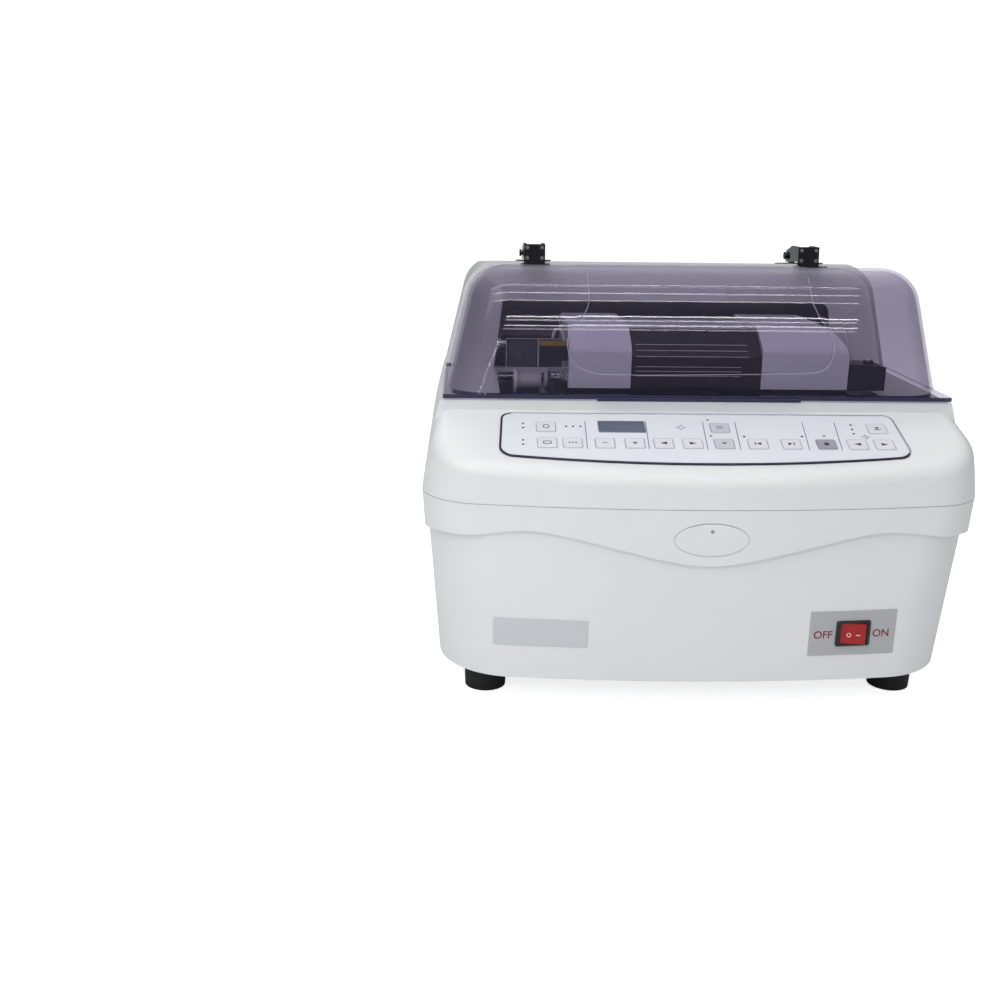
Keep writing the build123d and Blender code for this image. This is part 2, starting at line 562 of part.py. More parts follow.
with BuildPart() as machine_frame:
    with Locations((0, y_at(282), BASE_Z + 5)):
        Box(412, 226, 10)
    right_side = [(152, BASE_Z), (400, BASE_Z), (366, 300), (324, 300), (290, 214), (222, 246), (158, 240)]
    extrude(side_face(FRAME_RIGHT, right_side), amount=UPRIGHT)
    left_side = [(300, BASE_Z), (392, BASE_Z), (366, 300), (324, 300)]
    extrude(side_face(FRAME_LEFT, left_side), amount=LEFT_UPRIGHT)
    for start, length in ((FRAME_RIGHT, UPRIGHT), (FRAME_LEFT, LEFT_UPRIGHT)):
        with BuildSketch(across(PIVOT_DEPTH, PIVOT_Z, start)):
            Circle(21)
        extrude(amount=length)
    with BuildSketch(across(WHEEL_DEPTH, WHEEL_Z, FRAME_RIGHT)):
        Circle(33)
    extrude(amount=UPRIGHT)
    with BuildSketch(across(WHEEL_DEPTH, WHEEL_Z, FRAME_RIGHT - 1)):
        Circle(BEARING_R)
    extrude(amount=UPRIGHT + 2, mode=Mode.SUBTRACT)
    with BuildSketch(across(PIVOT_DEPTH, PIVOT_Z, FRAME_LEFT - 1)):
        Circle(PIVOT_R)
    extrude(amount=500, mode=Mode.SUBTRACT)
    with BuildSketch(across(MOTOR_DEPTH, MOTOR_Z, FRAME_RIGHT - 1)):
        Circle(30)
    extrude(amount=UPRIGHT + 2, mode=Mode.SUBTRACT)
    with Locations((-155, y_at(155), (BASE_Z + 250) / 2)):      # pedestal of the former block
        Box(46, 36, 250 - BASE_Z)
    with Locations((-155, y_at(170), BASE_Z + 5)):
        Box(46, 60, 10)
    with BuildSketch(across(PIVOT_DEPTH, RAIL_Z, FRAME_LEFT - 1)):
        Circle(RAIL_R)
    extrude(amount=500, mode=Mode.SUBTRACT)
    with BuildSketch(Plane.XY.offset(SHOE_FLOOR)):              # guide of the rest shoe
        with Locations((SHOE_X, y_at(LENS_DEPTH))):
            Circle(SHOE_STEM + RUN_FIT)
    extrude(amount=100, mode=Mode.SUBTRACT)
machine_frame.part.label = "machine_frame"
export_step(machine_frame.part, "parts/machine_frame.step")

with BuildPart() as pivot_shaft:
    with BuildSketch(across(PIVOT_DEPTH, PIVOT_Z, FRAME_LEFT)):
        Circle(PIVOT_R)
    extrude(amount=FRAME_RIGHT + UPRIGHT - FRAME_LEFT)
    chamfer(pivot_shaft.faces().filter_by(Axis.X).edges(), 1)
pivot_shaft.part.label = "pivot_shaft"
export_step(pivot_shaft.part, "parts/pivot_shaft.step")

with BuildPart() as spindle_bearings:
    for start in (FRAME_RIGHT + 1, FRAME_RIGHT + UPRIGHT - 9):
        with BuildSketch(across(WHEEL_DEPTH, WHEEL_Z, start)):
            Circle(BEARING_R)
            Circle(JOURNAL_R + RUN_FIT, mode=Mode.SUBTRACT)
        extrude(amount=8)
spindle_bearings.part.label = "spindle_bearings"
export_step(spindle_bearings.part, "parts/spindle_bearings.step")

PULLEY_X, PULLEY_W = 212.0, 20.0
SPINDLE_PULLEY_R, MOTOR_PULLEY_R = 20.0, 30.0
BELT_T = 2.5
WHEEL_R, WHEEL_BORE = 50.0, 10.0
ROUGH_X, ROUGH_W, BEVEL_X, BEVEL_W = -19.0, 27.0, 9.0, 28.0


def turned(depth, z, profile):
    """Solid turned about an X axis; profile holds (x start, x end, radius) steps."""
    with BuildPart() as form:
        for start, end, radius in profile:
            with BuildSketch(across(depth, z, start)):
                Circle(radius)
            extrude(amount=end - start)
    return form.part


with BuildPart() as wheel_spindle:
    add(turned(WHEEL_DEPTH, WHEEL_Z, [
        (ROUGH_X, BEVEL_X + BEVEL_W, WHEEL_BORE - RUN_FIT),
        (BEVEL_X + BEVEL_W, BEVEL_X + BEVEL_W + 7, 26),
        (BEVEL_X + BEVEL_W + 7, FRAME_RIGHT + GAP, SPINDLE_R),
        (FRAME_RIGHT + GAP, FRAME_RIGHT + UPRIGHT + 2, JOURNAL_R),
        (FRAME_RIGHT + UPRIGHT + 2, PULLEY_X + PULLEY_W, 10),
        (PULLEY_X, PULLEY_X + PULLEY_W, SPINDLE_PULLEY_R),
        (PULLEY_X - 2, PULLEY_X, SPINDLE_PULLEY_R + 4),
        (PULLEY_X + PULLEY_W, PULLEY_X + PULLEY_W + 2, SPINDLE_PULLEY_R + 4),
    ]))
    with BuildSketch(across(WHEEL_DEPTH, WHEEL_Z, ROUGH_X - 12)):
        RegularPolygon(17, 6)
    extrude(amount=12)
wheel_spindle.part.label = "wheel_spindle"
export_step(wheel_spindle.part, "parts/wheel_spindle.step")

with BuildPart() as roughing_wheel:
    add(turned(WHEEL_DEPTH, WHEEL_Z, [(ROUGH_X, ROUGH_X + ROUGH_W, WHEEL_R)]))
    with BuildSketch(across(WHEEL_DEPTH, WHEEL_Z, ROUGH_X)):
        Circle(WHEEL_BORE)
    extrude(amount=ROUGH_W, mode=Mode.SUBTRACT)
    with BuildSketch(across(WHEEL_DEPTH, WHEEL_Z, ROUGH_X)):
        Circle(WHEEL_R - 8)
        Circle(20, mode=Mode.SUBTRACT)
    extrude(amount=3, mode=Mode.SUBTRACT)
roughing_wheel.part.label = "roughing_wheel"
export_step(roughing_wheel.part, "parts/roughing_wheel.step")

with BuildPart() as bevel_wheel:              # finishing wheel with two V grooves
    with BuildSketch(Plane.XY):
        with BuildLine():
            Polyline(
                (BEVEL_X, WHEEL_BORE), (BEVEL_X, WHEEL_R), (BEVEL_X + 4, WHEEL_R),
                (BEVEL_X + 6, WHEEL_R - 2.2), (BEVEL_X + 8, WHEEL_R), (BEVEL_X + 12, WHEEL_R),
                (BEVEL_X + 14, WHEEL_R - 2.2), (BEVEL_X + 16, WHEEL_R), (BEVEL_X + BEVEL_W, WHEEL_R),
                (BEVEL_X + BEVEL_W, WHEEL_BORE), close=True,
            )
        make_face()
    revolve(axis=Axis.X)
bevel_wheel.part = bevel_wheel.part.moved(Location((0, y_at(WHEEL_DEPTH), WHEEL_Z)))
bevel_wheel.part.label = "bevel_wheel"
export_step(bevel_wheel.part, "parts/bevel_wheel.step")

MOTOR_R, MOTOR_LEFT, MOTOR_RIGHT = 52.0, 12.0, 172.0
with BuildPart() as grinding_motor:
    add(turned(MOTOR_DEPTH, MOTOR_Z, [
        (MOTOR_LEFT, MOTOR_RIGHT, MOTOR_R - 4), (MOTOR_LEFT, MOTOR_LEFT + 22, MOTOR_R),
        (MOTOR_RIGHT - 22, MOTOR_RIGHT, MOTOR_R), (MOTOR_RIGHT, MOTOR_RIGHT + 6, 24),
    ]))
    with BuildSketch(across(MOTOR_DEPTH, MOTOR_Z, MOTOR_LEFT + 22)):
        with PolarLocations(MOTOR_R - 4, 12):
            Rectangle(7, 2.2)
    extrude(amount=MOTOR_RIGHT - MOTOR_LEFT - 44)
    with Locations(((MOTOR_LEFT + MOTOR_RIGHT) / 2, y_at(MOTOR_DEPTH), (BASE_Z + 10 + MOTOR_Z - 40) / 2)):
        Box(110, 80, MOTOR_Z - 40 - BASE_Z - 10)
    with BuildSketch(across(MOTOR_DEPTH, MOTOR_Z, MOTOR_RIGHT - 20)):
        Circle(9 + RUN_FIT)
    extrude(amount=40, mode=Mode.SUBTRACT)
grinding_motor.part.label = "grinding_motor"
export_step(grinding_motor.part, "parts/grinding_motor.step")

with BuildPart() as motor_pulley:
    add(turned(MOTOR_DEPTH, MOTOR_Z, [
        (MOTOR_RIGHT - 19, PULLEY_X, 9), (PULLEY_X, PULLEY_X + PULLEY_W, MOTOR_PULLEY_R),
        (PULLEY_X - 2, PULLEY_X, MOTOR_PULLEY_R + 4),
        (PULLEY_X + PULLEY_W, PULLEY_X + PULLEY_W + 2, MOTOR_PULLEY_R + 4),
    ]))
motor_pulley.part.label = "motor_pulley"
export_step(motor_pulley.part, "parts/motor_pulley.step")


def belt_hull(extra):
    """Both pulleys with one tangent band drawn round them."""
    with BuildSketch(Plane(origin=(PULLEY_X + 1, 0, 0), x_dir=(0, 1, 0), z_dir=(1, 0, 0))) as hull:
        with Locations((y_at(WHEEL_DEPTH), WHEEL_Z)):
            Circle(SPINDLE_PULLEY_R + extra)
        with Locations((y_at(MOTOR_DEPTH), MOTOR_Z)):
            Circle(MOTOR_PULLEY_R + extra)
        make_hull()
    return hull.sketch


with BuildPart() as drive_belt:
    extrude(belt_hull(GAP + BELT_T), amount=PULLEY_W - 2)
    extrude(belt_hull(GAP), amount=PULLEY_W - 2, mode=Mode.SUBTRACT)
drive_belt.part.label = "drive_belt"
export_step(drive_belt.part, "parts/drive_belt.step")

# ------------------------------------------------------------- wet tub and piping
TUB_LEFT, TUB_RIGHT, TUB_FRONT, TUB_REAR = -122.0, 172.0, 126.0, 268.0
TUB_FLOOR, TUB_RIM, TUB_WALL = 152.0, DECK_Z - WALL, 3.0

RIM_LEFT, RIM_RIGHT, RIM_FRONT, RIM_REAR = -128.0, 196.0, 112.0, 298.0

with BuildPart() as grinding_tub:
    tub_mid = ((TUB_LEFT + TUB_RIGHT) / 2, y_at((TUB_FRONT + TUB_REAR) / 2))
    tub_w, tub_d = TUB_RIGHT - TUB_LEFT, TUB_REAR - TUB_FRONT
    with BuildSketch(Plane.XY.offset(TUB_FLOOR)):
        with Locations(tub_mid):
            RectangleRounded(tub_w, tub_d, 7)
    extrude(amount=TUB_RIM - TUB_FLOOR)
    with BuildSketch(Plane.XY.offset(TUB_RIM - TUB_WALL)):
        with Locations(((RIM_LEFT + RIM_RIGHT) / 2, y_at((RIM_FRONT + RIM_REAR) / 2))):
            Rectangle(RIM_RIGHT - RIM_LEFT, RIM_REAR - RIM_FRONT)
    extrude(amount=TUB_WALL)
    with BuildSketch(Plane.XY.offset(TUB_FLOOR + TUB_WALL)):
        with Locations(tub_mid):
            RectangleRounded(tub_w - 2 * TUB_WALL, tub_d - 2 * TUB_WALL, 4)
    extrude(amount=TUB_RIM - TUB_FLOOR, mode=Mode.SUBTRACT)
    with BuildSketch(across(WHEEL_DEPTH, WHEEL_Z, TUB_RIGHT - 10)):
        Circle(SPINDLE_R + 2)
    extrude(amount=20, mode=Mode.SUBTRACT)
    with BuildSketch(Plane.XY.offset(TUB_FLOOR - 14)):          # drain spout under the floor
        with Locations((-60, y_at(240))):
            Circle(14)
    extrude(amount=14)
    with Locations((-60, y_at(240), TUB_FLOOR - 14)):
        Cylinder(11, 60, mode=Mode.SUBTRACT)
    with BuildSketch(across(178, 262, TUB_LEFT - 5)):
        Circle(4.2)
    extrude(amount=15, mode=Mode.SUBTRACT)
grinding_tub.part.label = "grinding_tub"
export_step(grinding_tub.part, "parts/grinding_tub.step")

with BuildPart() as drain_outlet:             # elbow from the tub and spout at the rear
    with BuildLine():
        FilletPolyline((DRAIN_X, y_at(240), TUB_FLOOR - 14.2), (DRAIN_X, y_at(240), DRAIN_Z),
                       (DRAIN_X, y_at(DEPTH), DRAIN_Z), radius=18)
    with BuildSketch(Plane.XY.offset(TUB_FLOOR - 14.2)):
        with Locations((DRAIN_X, y_at(240))):
            Circle(12.5)
            Circle(10, mode=Mode.SUBTRACT)
    sweep()
    with BuildSketch(Plane.XZ.offset(-y_at(417.3))):
        with Locations((DRAIN_X, DRAIN_Z)):
            Circle(18)
            Circle(11, mode=Mode.SUBTRACT)
    extrude(amount=3)
drain_outlet.part.label = "drain_outlet"
export_step(drain_outlet.part, "parts/drain_outlet.step")

with BuildPart() as water_inlet:              # hose tail with a threaded shank
    with BuildSketch(Plane.XY):
        with BuildLine():
            Polyline((2.6, 0), (4, 0), (4, 14.2), (9, 14.2), (9, 17.5), (4.5, 17.5), (4.5, 29),
                     (4, 30), (2.6, 30), close=True)
        make_face()
    revolve(axis=Axis.Y)
water_inlet.part = water_inlet.part.moved(Location((INLET_X, y_at(DEPTH - 30), INLET_Z)))
water_inlet.part.label = "water_inlet"
export_step(water_inlet.part, "parts/water_inlet.step")

PIPE_X, PIPE_DEPTH, PIPE_Z = -140.0, 178.0, 262.0
with BuildPart() as coolant_pipe:             # from the inlet up to a nozzle over the wheels
    with BuildLine() as route:
        FilletPolyline(
            (INLET_X, y_at(DEPTH - 30.3), INLET_Z), (INLET_X, y_at(300), INLET_Z),
            (PIPE_X, y_at(300), INLET_Z), (PIPE_X, y_at(300), PIPE_Z),
            (PIPE_X, y_at(PIPE_DEPTH), PIPE_Z), (-46, y_at(PIPE_DEPTH), PIPE_Z), radius=12,
        )
    with BuildSketch(Plane(origin=route.line @ 0, z_dir=route.line % 0)):
        Circle(4)
        Circle(2.6, mode=Mode.SUBTRACT)
    sweep()
coolant_pipe.part.label = "coolant_pipe"
export_step(coolant_pipe.part, "parts/coolant_pipe.step")

with BuildPart() as power_inlet:              # three-pin mains socket in the rear wall
    with BuildSketch(Plane.XZ.offset(-y_at(417.2))):
        with Locations((MAINS_X, MAINS_Z)):
            RectangleRounded(50, 26, 5)
            with Locations((-20, 0), (20, 0)):
                Circle(1.8, mode=Mode.SUBTRACT)
    extrude(amount=3)
    with BuildSketch(Plane.XZ.offset(-y_at(417.2))):
        with Locations((MAINS_X, MAINS_Z)):
            RectangleRounded(27.4, 19.9, 3)
    extrude(amount=24)
    with BuildSketch(Plane.XZ.offset(-y_at(417.2))):
        with Locations((MAINS_X, MAINS_Z)):
            RectangleRounded(24, 16.5, 2.5)
    extrude(amount=18, mode=Mode.SUBTRACT)
    with BuildSketch(Plane.XZ.offset(-y_at(402))):
        with Locations((MAINS_X - 7, MAINS_Z - 2), (MAINS_X, MAINS_Z + 2), (MAINS_X + 7, MAINS_Z - 2)):
            Rectangle(2, 4)
    with Locations(*[(MAINS_X + dx, y_at(405.5), MAINS_Z + dz) for dx, dz in ((-7, -2), (0, 2), (7, -2))]):
        Box(2, 13, 4)
power_inlet.part.label = "power_inlet"
export_step(power_inlet.part, "parts/power_inlet.step")

# ------------------------------------------------------------------ control board
BOARD_DOWN, BOARD_T, SWITCH_TOP = 14.0, 1.6, 4.5
with BuildPart() as control_board:
    with BuildSketch(panel_plane.offset(-BOARD_DOWN)):
        with Locations((PANEL_MID, 27)):
            Rectangle(376, 56)
    extrude(amount=-BOARD_T)
    with BuildSketch(panel_plane.offset(-BOARD_DOWN)):
        with Locations(*KEYS.values()):
            Rectangle(6, 6)
    extrude(amount=BOARD_DOWN - SWITCH_TOP)
    with BuildSketch(panel_plane.offset(-BOARD_DOWN)):
        with Locations((DISPLAY_X, DISPLAY_S)):
            Rectangle(DISPLAY_W - 2, DISPLAY_H - 1)
    extrude(amount=BOARD_DOWN - 2.1)
    with BuildSketch(panel_plane.offset(-BOARD_DOWN - 0.5)):
        with Locations(*[(PANEL_MID + x, s) for x in (-185, 185) for s in (4, 50)]):
            Circle(2.4)
    extrude(amount=BOARD_DOWN - WALL + 0.3)
control_board.part.label = "control_board"
export_step(control_board.part, "parts/control_board.step")

# ------------------------------------------------------------------ lens carriage
SLEEVE_R, HUB_R = 15.0, 20.0
HUB_LEFT, HUB_RIGHT = -110.0, 140.0
ARM_LEFT = (-110.0, 26.0)             # start and width of the arms
ARM_RIGHT = (85.0, 55.0)
QUILL_R, RIGHT_SHAFT_R, LEFT_SHAFT_R = 10.0, 6.0, 7.0
COVER_WALL = 2.5
COVER_LEFT = (-122.8, -61.2)
COVER_RIGHT = (68.3, 154.7)

with BuildPart() as guide_rail:
    with BuildSketch(across(PIVOT_DEPTH, RAIL_Z, FRAME_LEFT)):
        Circle(RAIL_R)
    extrude(amount=FRAME_RIGHT + UPRIGHT - FRAME_LEFT)
guide_rail.part.label = "guide_rail"
export_step(guide_rail.part, "parts/guide_rail.step")

with BuildPart() as traverse_carrier:
    ends = (HUB_LEFT - 8, HUB_RIGHT + GAP)
    with BuildSketch(across(PIVOT_DEPTH, PIVOT_Z, ends[0])):
        Circle(SLEEVE_R)
    extrude(amount=ends[1] + 8 - ends[0])
    lug = [(332, 300), (306, 283.5), (306, 268), (332, 256), (356, 256), (360, 300)]
    for start in ends:
        with BuildSketch(across(PIVOT_DEPTH, PIVOT_Z, start)):
            Circle(HUB_R - 1)
        extrude(amount=8 - GAP)
        extrude(side_face(start, lug), amount=8 - GAP)
    finger = [(306, 268), (306, 283.5), (318, 283.5), (318, 268)]
    extrude(side_face(HUB_RIGHT - 14, finger), amount=16)
    for z, radius in ((PIVOT_Z, PIVOT_R), (RAIL_Z, RAIL_R)):
        with BuildSketch(across(PIVOT_DEPTH, z, ends[0] - 1)):
            Circle(radius + RUN_FIT)
        extrude(amount=300, mode=Mode.SUBTRACT)
traverse_carrier.part.label = "traverse_carrier"
export_step(traverse_carrier.part, "parts/traverse_carrier.step")

ARM_SIDE = [(346, 284), (300, 284), (142, 282.5), (142, 306), (170, 320), (300, 325), (346, 320)]
with BuildPart() as carriage_frame:
    for start, width in (ARM_LEFT, ARM_RIGHT):
        extrude(side_face(start, ARM_SIDE, [(3, 8), (4, 10)]), amount=width)
        with BuildSketch(across(LENS_DEPTH, LENS_Z, start)):
            Circle(13)
        extrude(amount=width)
    with BuildSketch(across(PIVOT_DEPTH, PIVOT_Z, HUB_LEFT)):
        Circle(HUB_R)
    extrude(amount=HUB_RIGHT - HUB_LEFT)
    web = [(300, 290), (300, 322), (306, 322), (340, 312), (340, 290)]
    extrude(side_face(HUB_LEFT + 20, web), amount=180)
    with BuildSketch(across(PIVOT_DEPTH, PIVOT_Z, HUB_LEFT - 1)):
        Circle(SLEEVE_R + RUN_FIT)
    extrude(amount=300, mode=Mode.SUBTRACT)
    for start, width, radius in ((*ARM_LEFT, LEFT_SHAFT_R), (*ARM_RIGHT, QUILL_R)):
        with BuildSketch(across(LENS_DEPTH, LENS_Z, start - 1)):
            Circle(radius + RUN_FIT)
        extrude(amount=width + 2, mode=Mode.SUBTRACT)
carriage_frame.part.label = "carriage_frame"
export_step(carriage_frame.part, "parts/carriage_frame.step")


def arm_cover(ends, rounds, shaft_hole):
    """Moulded cover over one carriage arm, open below and behind."""
    def form(inset):
        left, right = ends[0] + inset, ends[1] - inset
        low = 287 - (10 if inset else 0)
        rear = 272 + (10 if inset else 0)
        side = [(135 + inset, low), (135 + inset, 326 - 0.5 * inset), (165 + 0.5 * inset, 344 - inset),
                (rear, 345 - inset), (rear, low)]
        face = [(left, low), (left, 350 - inset), (right, 350 - inset), (right, low)]
        with BuildPart() as block:
            corners = [(1, rounds[0] - inset), (2, rounds[1] - inset)]
            extrude(front_face(rear, face, corners), amount=200)
            extrude(side_face(-200, side, [(1, 9), (2, 16)]), amount=400, mode=Mode.INTERSECT)
        return block.part

    with BuildPart() as cover:
        add(form(0))
        add(form(COVER_WALL), mode=Mode.SUBTRACT)
        with BuildSketch(across(LENS_DEPTH, LENS_Z, ends[0] - 1)):
            Circle(shaft_hole)
        extrude(amount=ends[1] - ends[0] + 2, mode=Mode.SUBTRACT)
        with BuildSketch(across(VISOR_DEPTH, VISOR_Z, ends[0] - 1)):
            Circle(3 + RUN_FIT)
        extrude(amount=ends[1] - ends[0] + 2, mode=Mode.SUBTRACT)
    return cover.part


left_cover = arm_cover(COVER_LEFT, (12, 6), 9)
left_cover.label = "left_arm_cover"
export_step(left_cover, "parts/left_arm_cover.step")
right_cover = arm_cover(COVER_RIGHT, (6, 34), 12)
right_cover.label = "right_arm_cover"
export_step(right_cover, "parts/right_arm_cover.step")

with BuildPart() as carriage_bridge:          # cover between the arms, behind the visor
    span = (COVER_LEFT[1], COVER_RIGHT[0])
    extrude(side_face(span[0] + 2.9, [(172, 337), (172, 339.5), (235, 339.5), (235, 337)]),
            amount=span[1] - span[0] - 5.8)
    extrude(side_face(span[0], [(230, 337), (230, 339.5), (272, 339.5), (286, 333.5), (286, 331), (272, 337)]),
            amount=span[1] - span[0])
    for start in (span[0], span[1] - 2.5):
        extrude(side_face(start, [(232, 300), (232, 338), (272, 338), (272, 300)]), amount=2.5)
carriage_bridge.part.label = "carriage_bridge"
export_step(carriage_bridge.part, "parts/carriage_bridge.step")

BLOCK_LEFT, BLOCK_RIGHT = 156.0, 193.0
with BuildPart() as clamp_drive_block:
    top = [(BLOCK_LEFT, 286), (BLOCK_LEFT, 312.8), (BLOCK_RIGHT, 309.6), (BLOCK_RIGHT, 286)]
    extrude(front_face(172, top, [(1, 1.5), (2, 1.5)]), amount=35)
    with BuildSketch(across(LENS_DEPTH, LENS_Z, HUB_RIGHT)):
        Circle(11.5)
    extrude(amount=20)
    with BuildSketch(across(LENS_DEPTH, LENS_Z, HUB_RIGHT - 1)):
        Circle(7)
    extrude(amount=45, mode=Mode.SUBTRACT)
    with Locations((178.7, y_at(150), 310)):
        Cylinder(5, 5, align=(Align.CENTER, Align.CENTER, Align.MIN))
    fillet(clamp_drive_block.edges().filter_by(GeomType.CIRCLE).group_by(Axis.Z)[-1], 2)
clamp_drive_block.part.label = "clamp_drive_block"
export_step(clamp_drive_block.part, "parts/clamp_drive_block.step")

with BuildPart() as guard_plate:
    extrude(side_face(-185, [(133, 307), (133, 336), (135, 336), (135, 307)]), amount=55)
    extrude(side_face(-134, [(134, 312), (134, 328), (150, 328), (150, 312)]), amount=3)
    extrude(side_face(-134, [(147, 312), (147, 328), (150, 328), (150, 312)]), amount=134 - 122.82)
guard_plate.part.label = "guard_plate"
export_step(guard_plate.part, "parts/guard_plate.step")

VISOR_SIDE = [(136, 288), (136, 318), (164.5, 341), (170, 342), (170, 339.5), (165.3, 338.6),
              (138.5, 317), (138.5, 288)]
VISOR_CHEEK = [(137, 309), (137, 317), (165, 340), (171, 340), (201, 302), (201, 294), (189, 294),
               (186, 299), (160, 306.5)]
with BuildPart() as splash_visor:
    left, right = COVER_LEFT[1] + GAP, COVER_RIGHT[0] - GAP
    extrude(side_face(left, VISOR_SIDE), amount=right - left)
    for start in (left, right - 2):
        extrude(side_face(start, VISOR_CHEEK, [(4, 4), (5, 4), (6, 4)]), amount=2)
    for start in (left - 2.6, right - 1):
        with BuildSketch(across(VISOR_DEPTH, VISOR_Z, start)):
            Circle(3)
        extrude(amount=3.6)
splash_visor.part.label = "splash_visor"
export_step(splash_visor.part, "parts/splash_visor.step")

CUP_FACE, LENS_OPEN = 0.5, 15.0
CUP_BORE, CUP_DEEP = 6.0, 8.0         # seat for the lens block
with BuildPart() as left_lens_shaft:
    add(turned(LENS_DEPTH, LENS_Z, [(-143, -124, 3.5), (-124, -12, LEFT_SHAFT_R), (-84 + GAP, -80, 9.5),
                                    (-116, -110 - GAP, 8.5)]))
left_lens_shaft.part.label = "left_lens_shaft"
export_step(left_lens_shaft.part, "parts/left_lens_shaft.step")

with BuildPart() as left_chuck_cup:
    add(turned(LENS_DEPTH, LENS_Z, [(-20, -12, 8.5), (-12, CUP_FACE, 9.5)]))
    with BuildSketch(across(LENS_DEPTH, LENS_Z, -21)):
        Circle(LEFT_SHAFT_R)
    extrude(amount=9, mode=Mode.SUBTRACT)
    with BuildSketch(across(LENS_DEPTH, LENS_Z, CUP_FACE - CUP_DEEP)):
        Circle(CUP_BORE)
    extrude(amount=CUP_DEEP + 1, mode=Mode.SUBTRACT)
left_chuck_cup.part.label = "left_chuck_cup"
export_step(left_chuck_cup.part, "parts/left_chuck_cup.step")

with BuildPart() as pattern_holder:           # disc carrier with the frame-shape pattern on it
    add(turned(LENS_DEPTH, LENS_Z, [(-173, -143, 10.5), (-176.5, -173, 7)]))
    with BuildSketch(across(LENS_DEPTH, LENS_Z, -176)):
        Ellipse(19.5, 15.5)
    extrude(amount=2.5)
pattern_holder.part.label = "pattern_holder"
export_step(pattern_holder.part, "parts/pattern_holder.step")

with BuildPart() as chuck_quill:
    add(turned(LENS_DEPTH, LENS_Z, [(66, 138, QUILL_R)]))
    with BuildSketch(across(LENS_DEPTH, LENS_Z, 65)):
        Circle(RIGHT_SHAFT_R + RUN_FIT)
    extrude(amount=75, mode=Mode.SUBTRACT)
chuck_quill.part.label = "chuck_quill"
export_step(chuck_quill.part, "parts/chuck_quill.step")

with BuildPart() as right_lens_shaft:
    add(turned(LENS_DEPTH, LENS_Z, [(24, 165, RIGHT_SHAFT_R), (61, 66 - GAP, 9.5)]))
right_lens_shaft.part.label = "right_lens_shaft"
export_step(right_lens_shaft.part, "parts/right_lens_shaft.step")

with BuildPart() as right_chuck_pad:
    add(turned(LENS_DEPTH, LENS_Z, [(LENS_OPEN, LENS_OPEN + 4, 9.5), (LENS_OPEN + 4, 32, 8)]))
    with BuildSketch(across(LENS_DEPTH, LENS_Z, 24)):
        Circle(RIGHT_SHAFT_R)
    extrude(amount=9, mode=Mode.SUBTRACT)
right_chuck_pad.part.label = "right_chuck_pad"
export_step(right_chuck_pad.part, "parts/right_chuck_pad.step")

with BuildPart() as former_rest_shoe:
    with BuildSketch(Plane.XY.offset(222)):
        with Locations((SHOE_X, y_at(LENS_DEPTH))):
            Circle(SHOE_STEM)
    extrude(amount=40)
    with Locations((SHOE_X - 8, y_at(LENS_DEPTH), 264)):
        Box(32, 26, 8)
    fillet(former_rest_shoe.edges().filter_by(Axis.Z), 3)
former_rest_shoe.part.label = "former_rest_shoe"
export_step(former_rest_shoe.part, "parts/former_rest_shoe.step")
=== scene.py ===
import bpy
import bmesh
from math import atan2, cos, pi, radians, sin, sqrt, tan
from mathutils import Matrix, Vector


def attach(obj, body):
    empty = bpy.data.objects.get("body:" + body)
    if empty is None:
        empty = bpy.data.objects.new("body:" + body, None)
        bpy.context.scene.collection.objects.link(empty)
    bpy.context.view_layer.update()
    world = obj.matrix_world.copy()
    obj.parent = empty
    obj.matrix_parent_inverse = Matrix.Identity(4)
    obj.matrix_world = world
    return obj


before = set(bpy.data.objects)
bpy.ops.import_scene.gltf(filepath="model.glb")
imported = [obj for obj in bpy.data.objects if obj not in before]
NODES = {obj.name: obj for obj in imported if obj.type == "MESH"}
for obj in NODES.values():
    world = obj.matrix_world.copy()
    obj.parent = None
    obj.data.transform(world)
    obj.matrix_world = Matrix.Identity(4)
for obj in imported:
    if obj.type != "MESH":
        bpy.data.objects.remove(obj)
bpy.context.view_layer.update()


# ------------------------------------------------------------------ camera
CAMERA_PLACE = (-0.2219, -1.2056, 0.4902)
CAMERA_YAW = radians(1.69)          # to the right
CAMERA_PITCH = radians(15.8)        # downwards
CAMERA_ROLL = radians(-0.75)
CAMERA_LENS = 41.58                 # millimetres, on a sensor 36 mm wide


def camera():
    along = cos(CAMERA_PITCH)
    ahead = Vector((sin(CAMERA_YAW) * along, cos(CAMERA_YAW) * along, -sin(CAMERA_PITCH)))
    level = Vector((cos(CAMERA_YAW), -sin(CAMERA_YAW), 0.0))
    down = ahead.cross(level)
    c, s = cos(CAMERA_ROLL), sin(CAMERA_ROLL)
    right = c * level + s * down
    low = -s * level + c * down
    data = bpy.data.cameras.new("camera")
    data.sensor_width = 36.0
    data.lens = CAMERA_LENS
    data.clip_start = 0.02
    data.clip_end = 50.0
    cam = bpy.data.objects.new("camera", data)
    m = Matrix((right, -low, -ahead)).transposed().to_4x4()
    m.translation = Vector(CAMERA_PLACE)
    cam.matrix_world = m
    bpy.context.scene.collection.objects.link(cam)
    bpy.context.scene.camera = cam


camera()


# ------------------------------------------------------------------ materials
def lin(c):
    """sRGB 0..1 to linear."""
    return tuple(v / 12.92 if v <= 0.04045 else ((v + 0.055) / 1.055) ** 2.4 for v in c)


def add(tree, kind, values=None, feeds=None):
    """New shader node, with constants on some of its inputs and links into others."""
    made = tree.nodes.new("ShaderNode" + kind)
    for socket, value in (values or {}).items():
        made.inputs[socket].default_value = value
    for socket, source in (feeds or {}).items():
        tree.links.new(source, made.inputs[socket])
    return made


def find(tree, kind):
    return next(n for n in tree.nodes if n.type == kind)


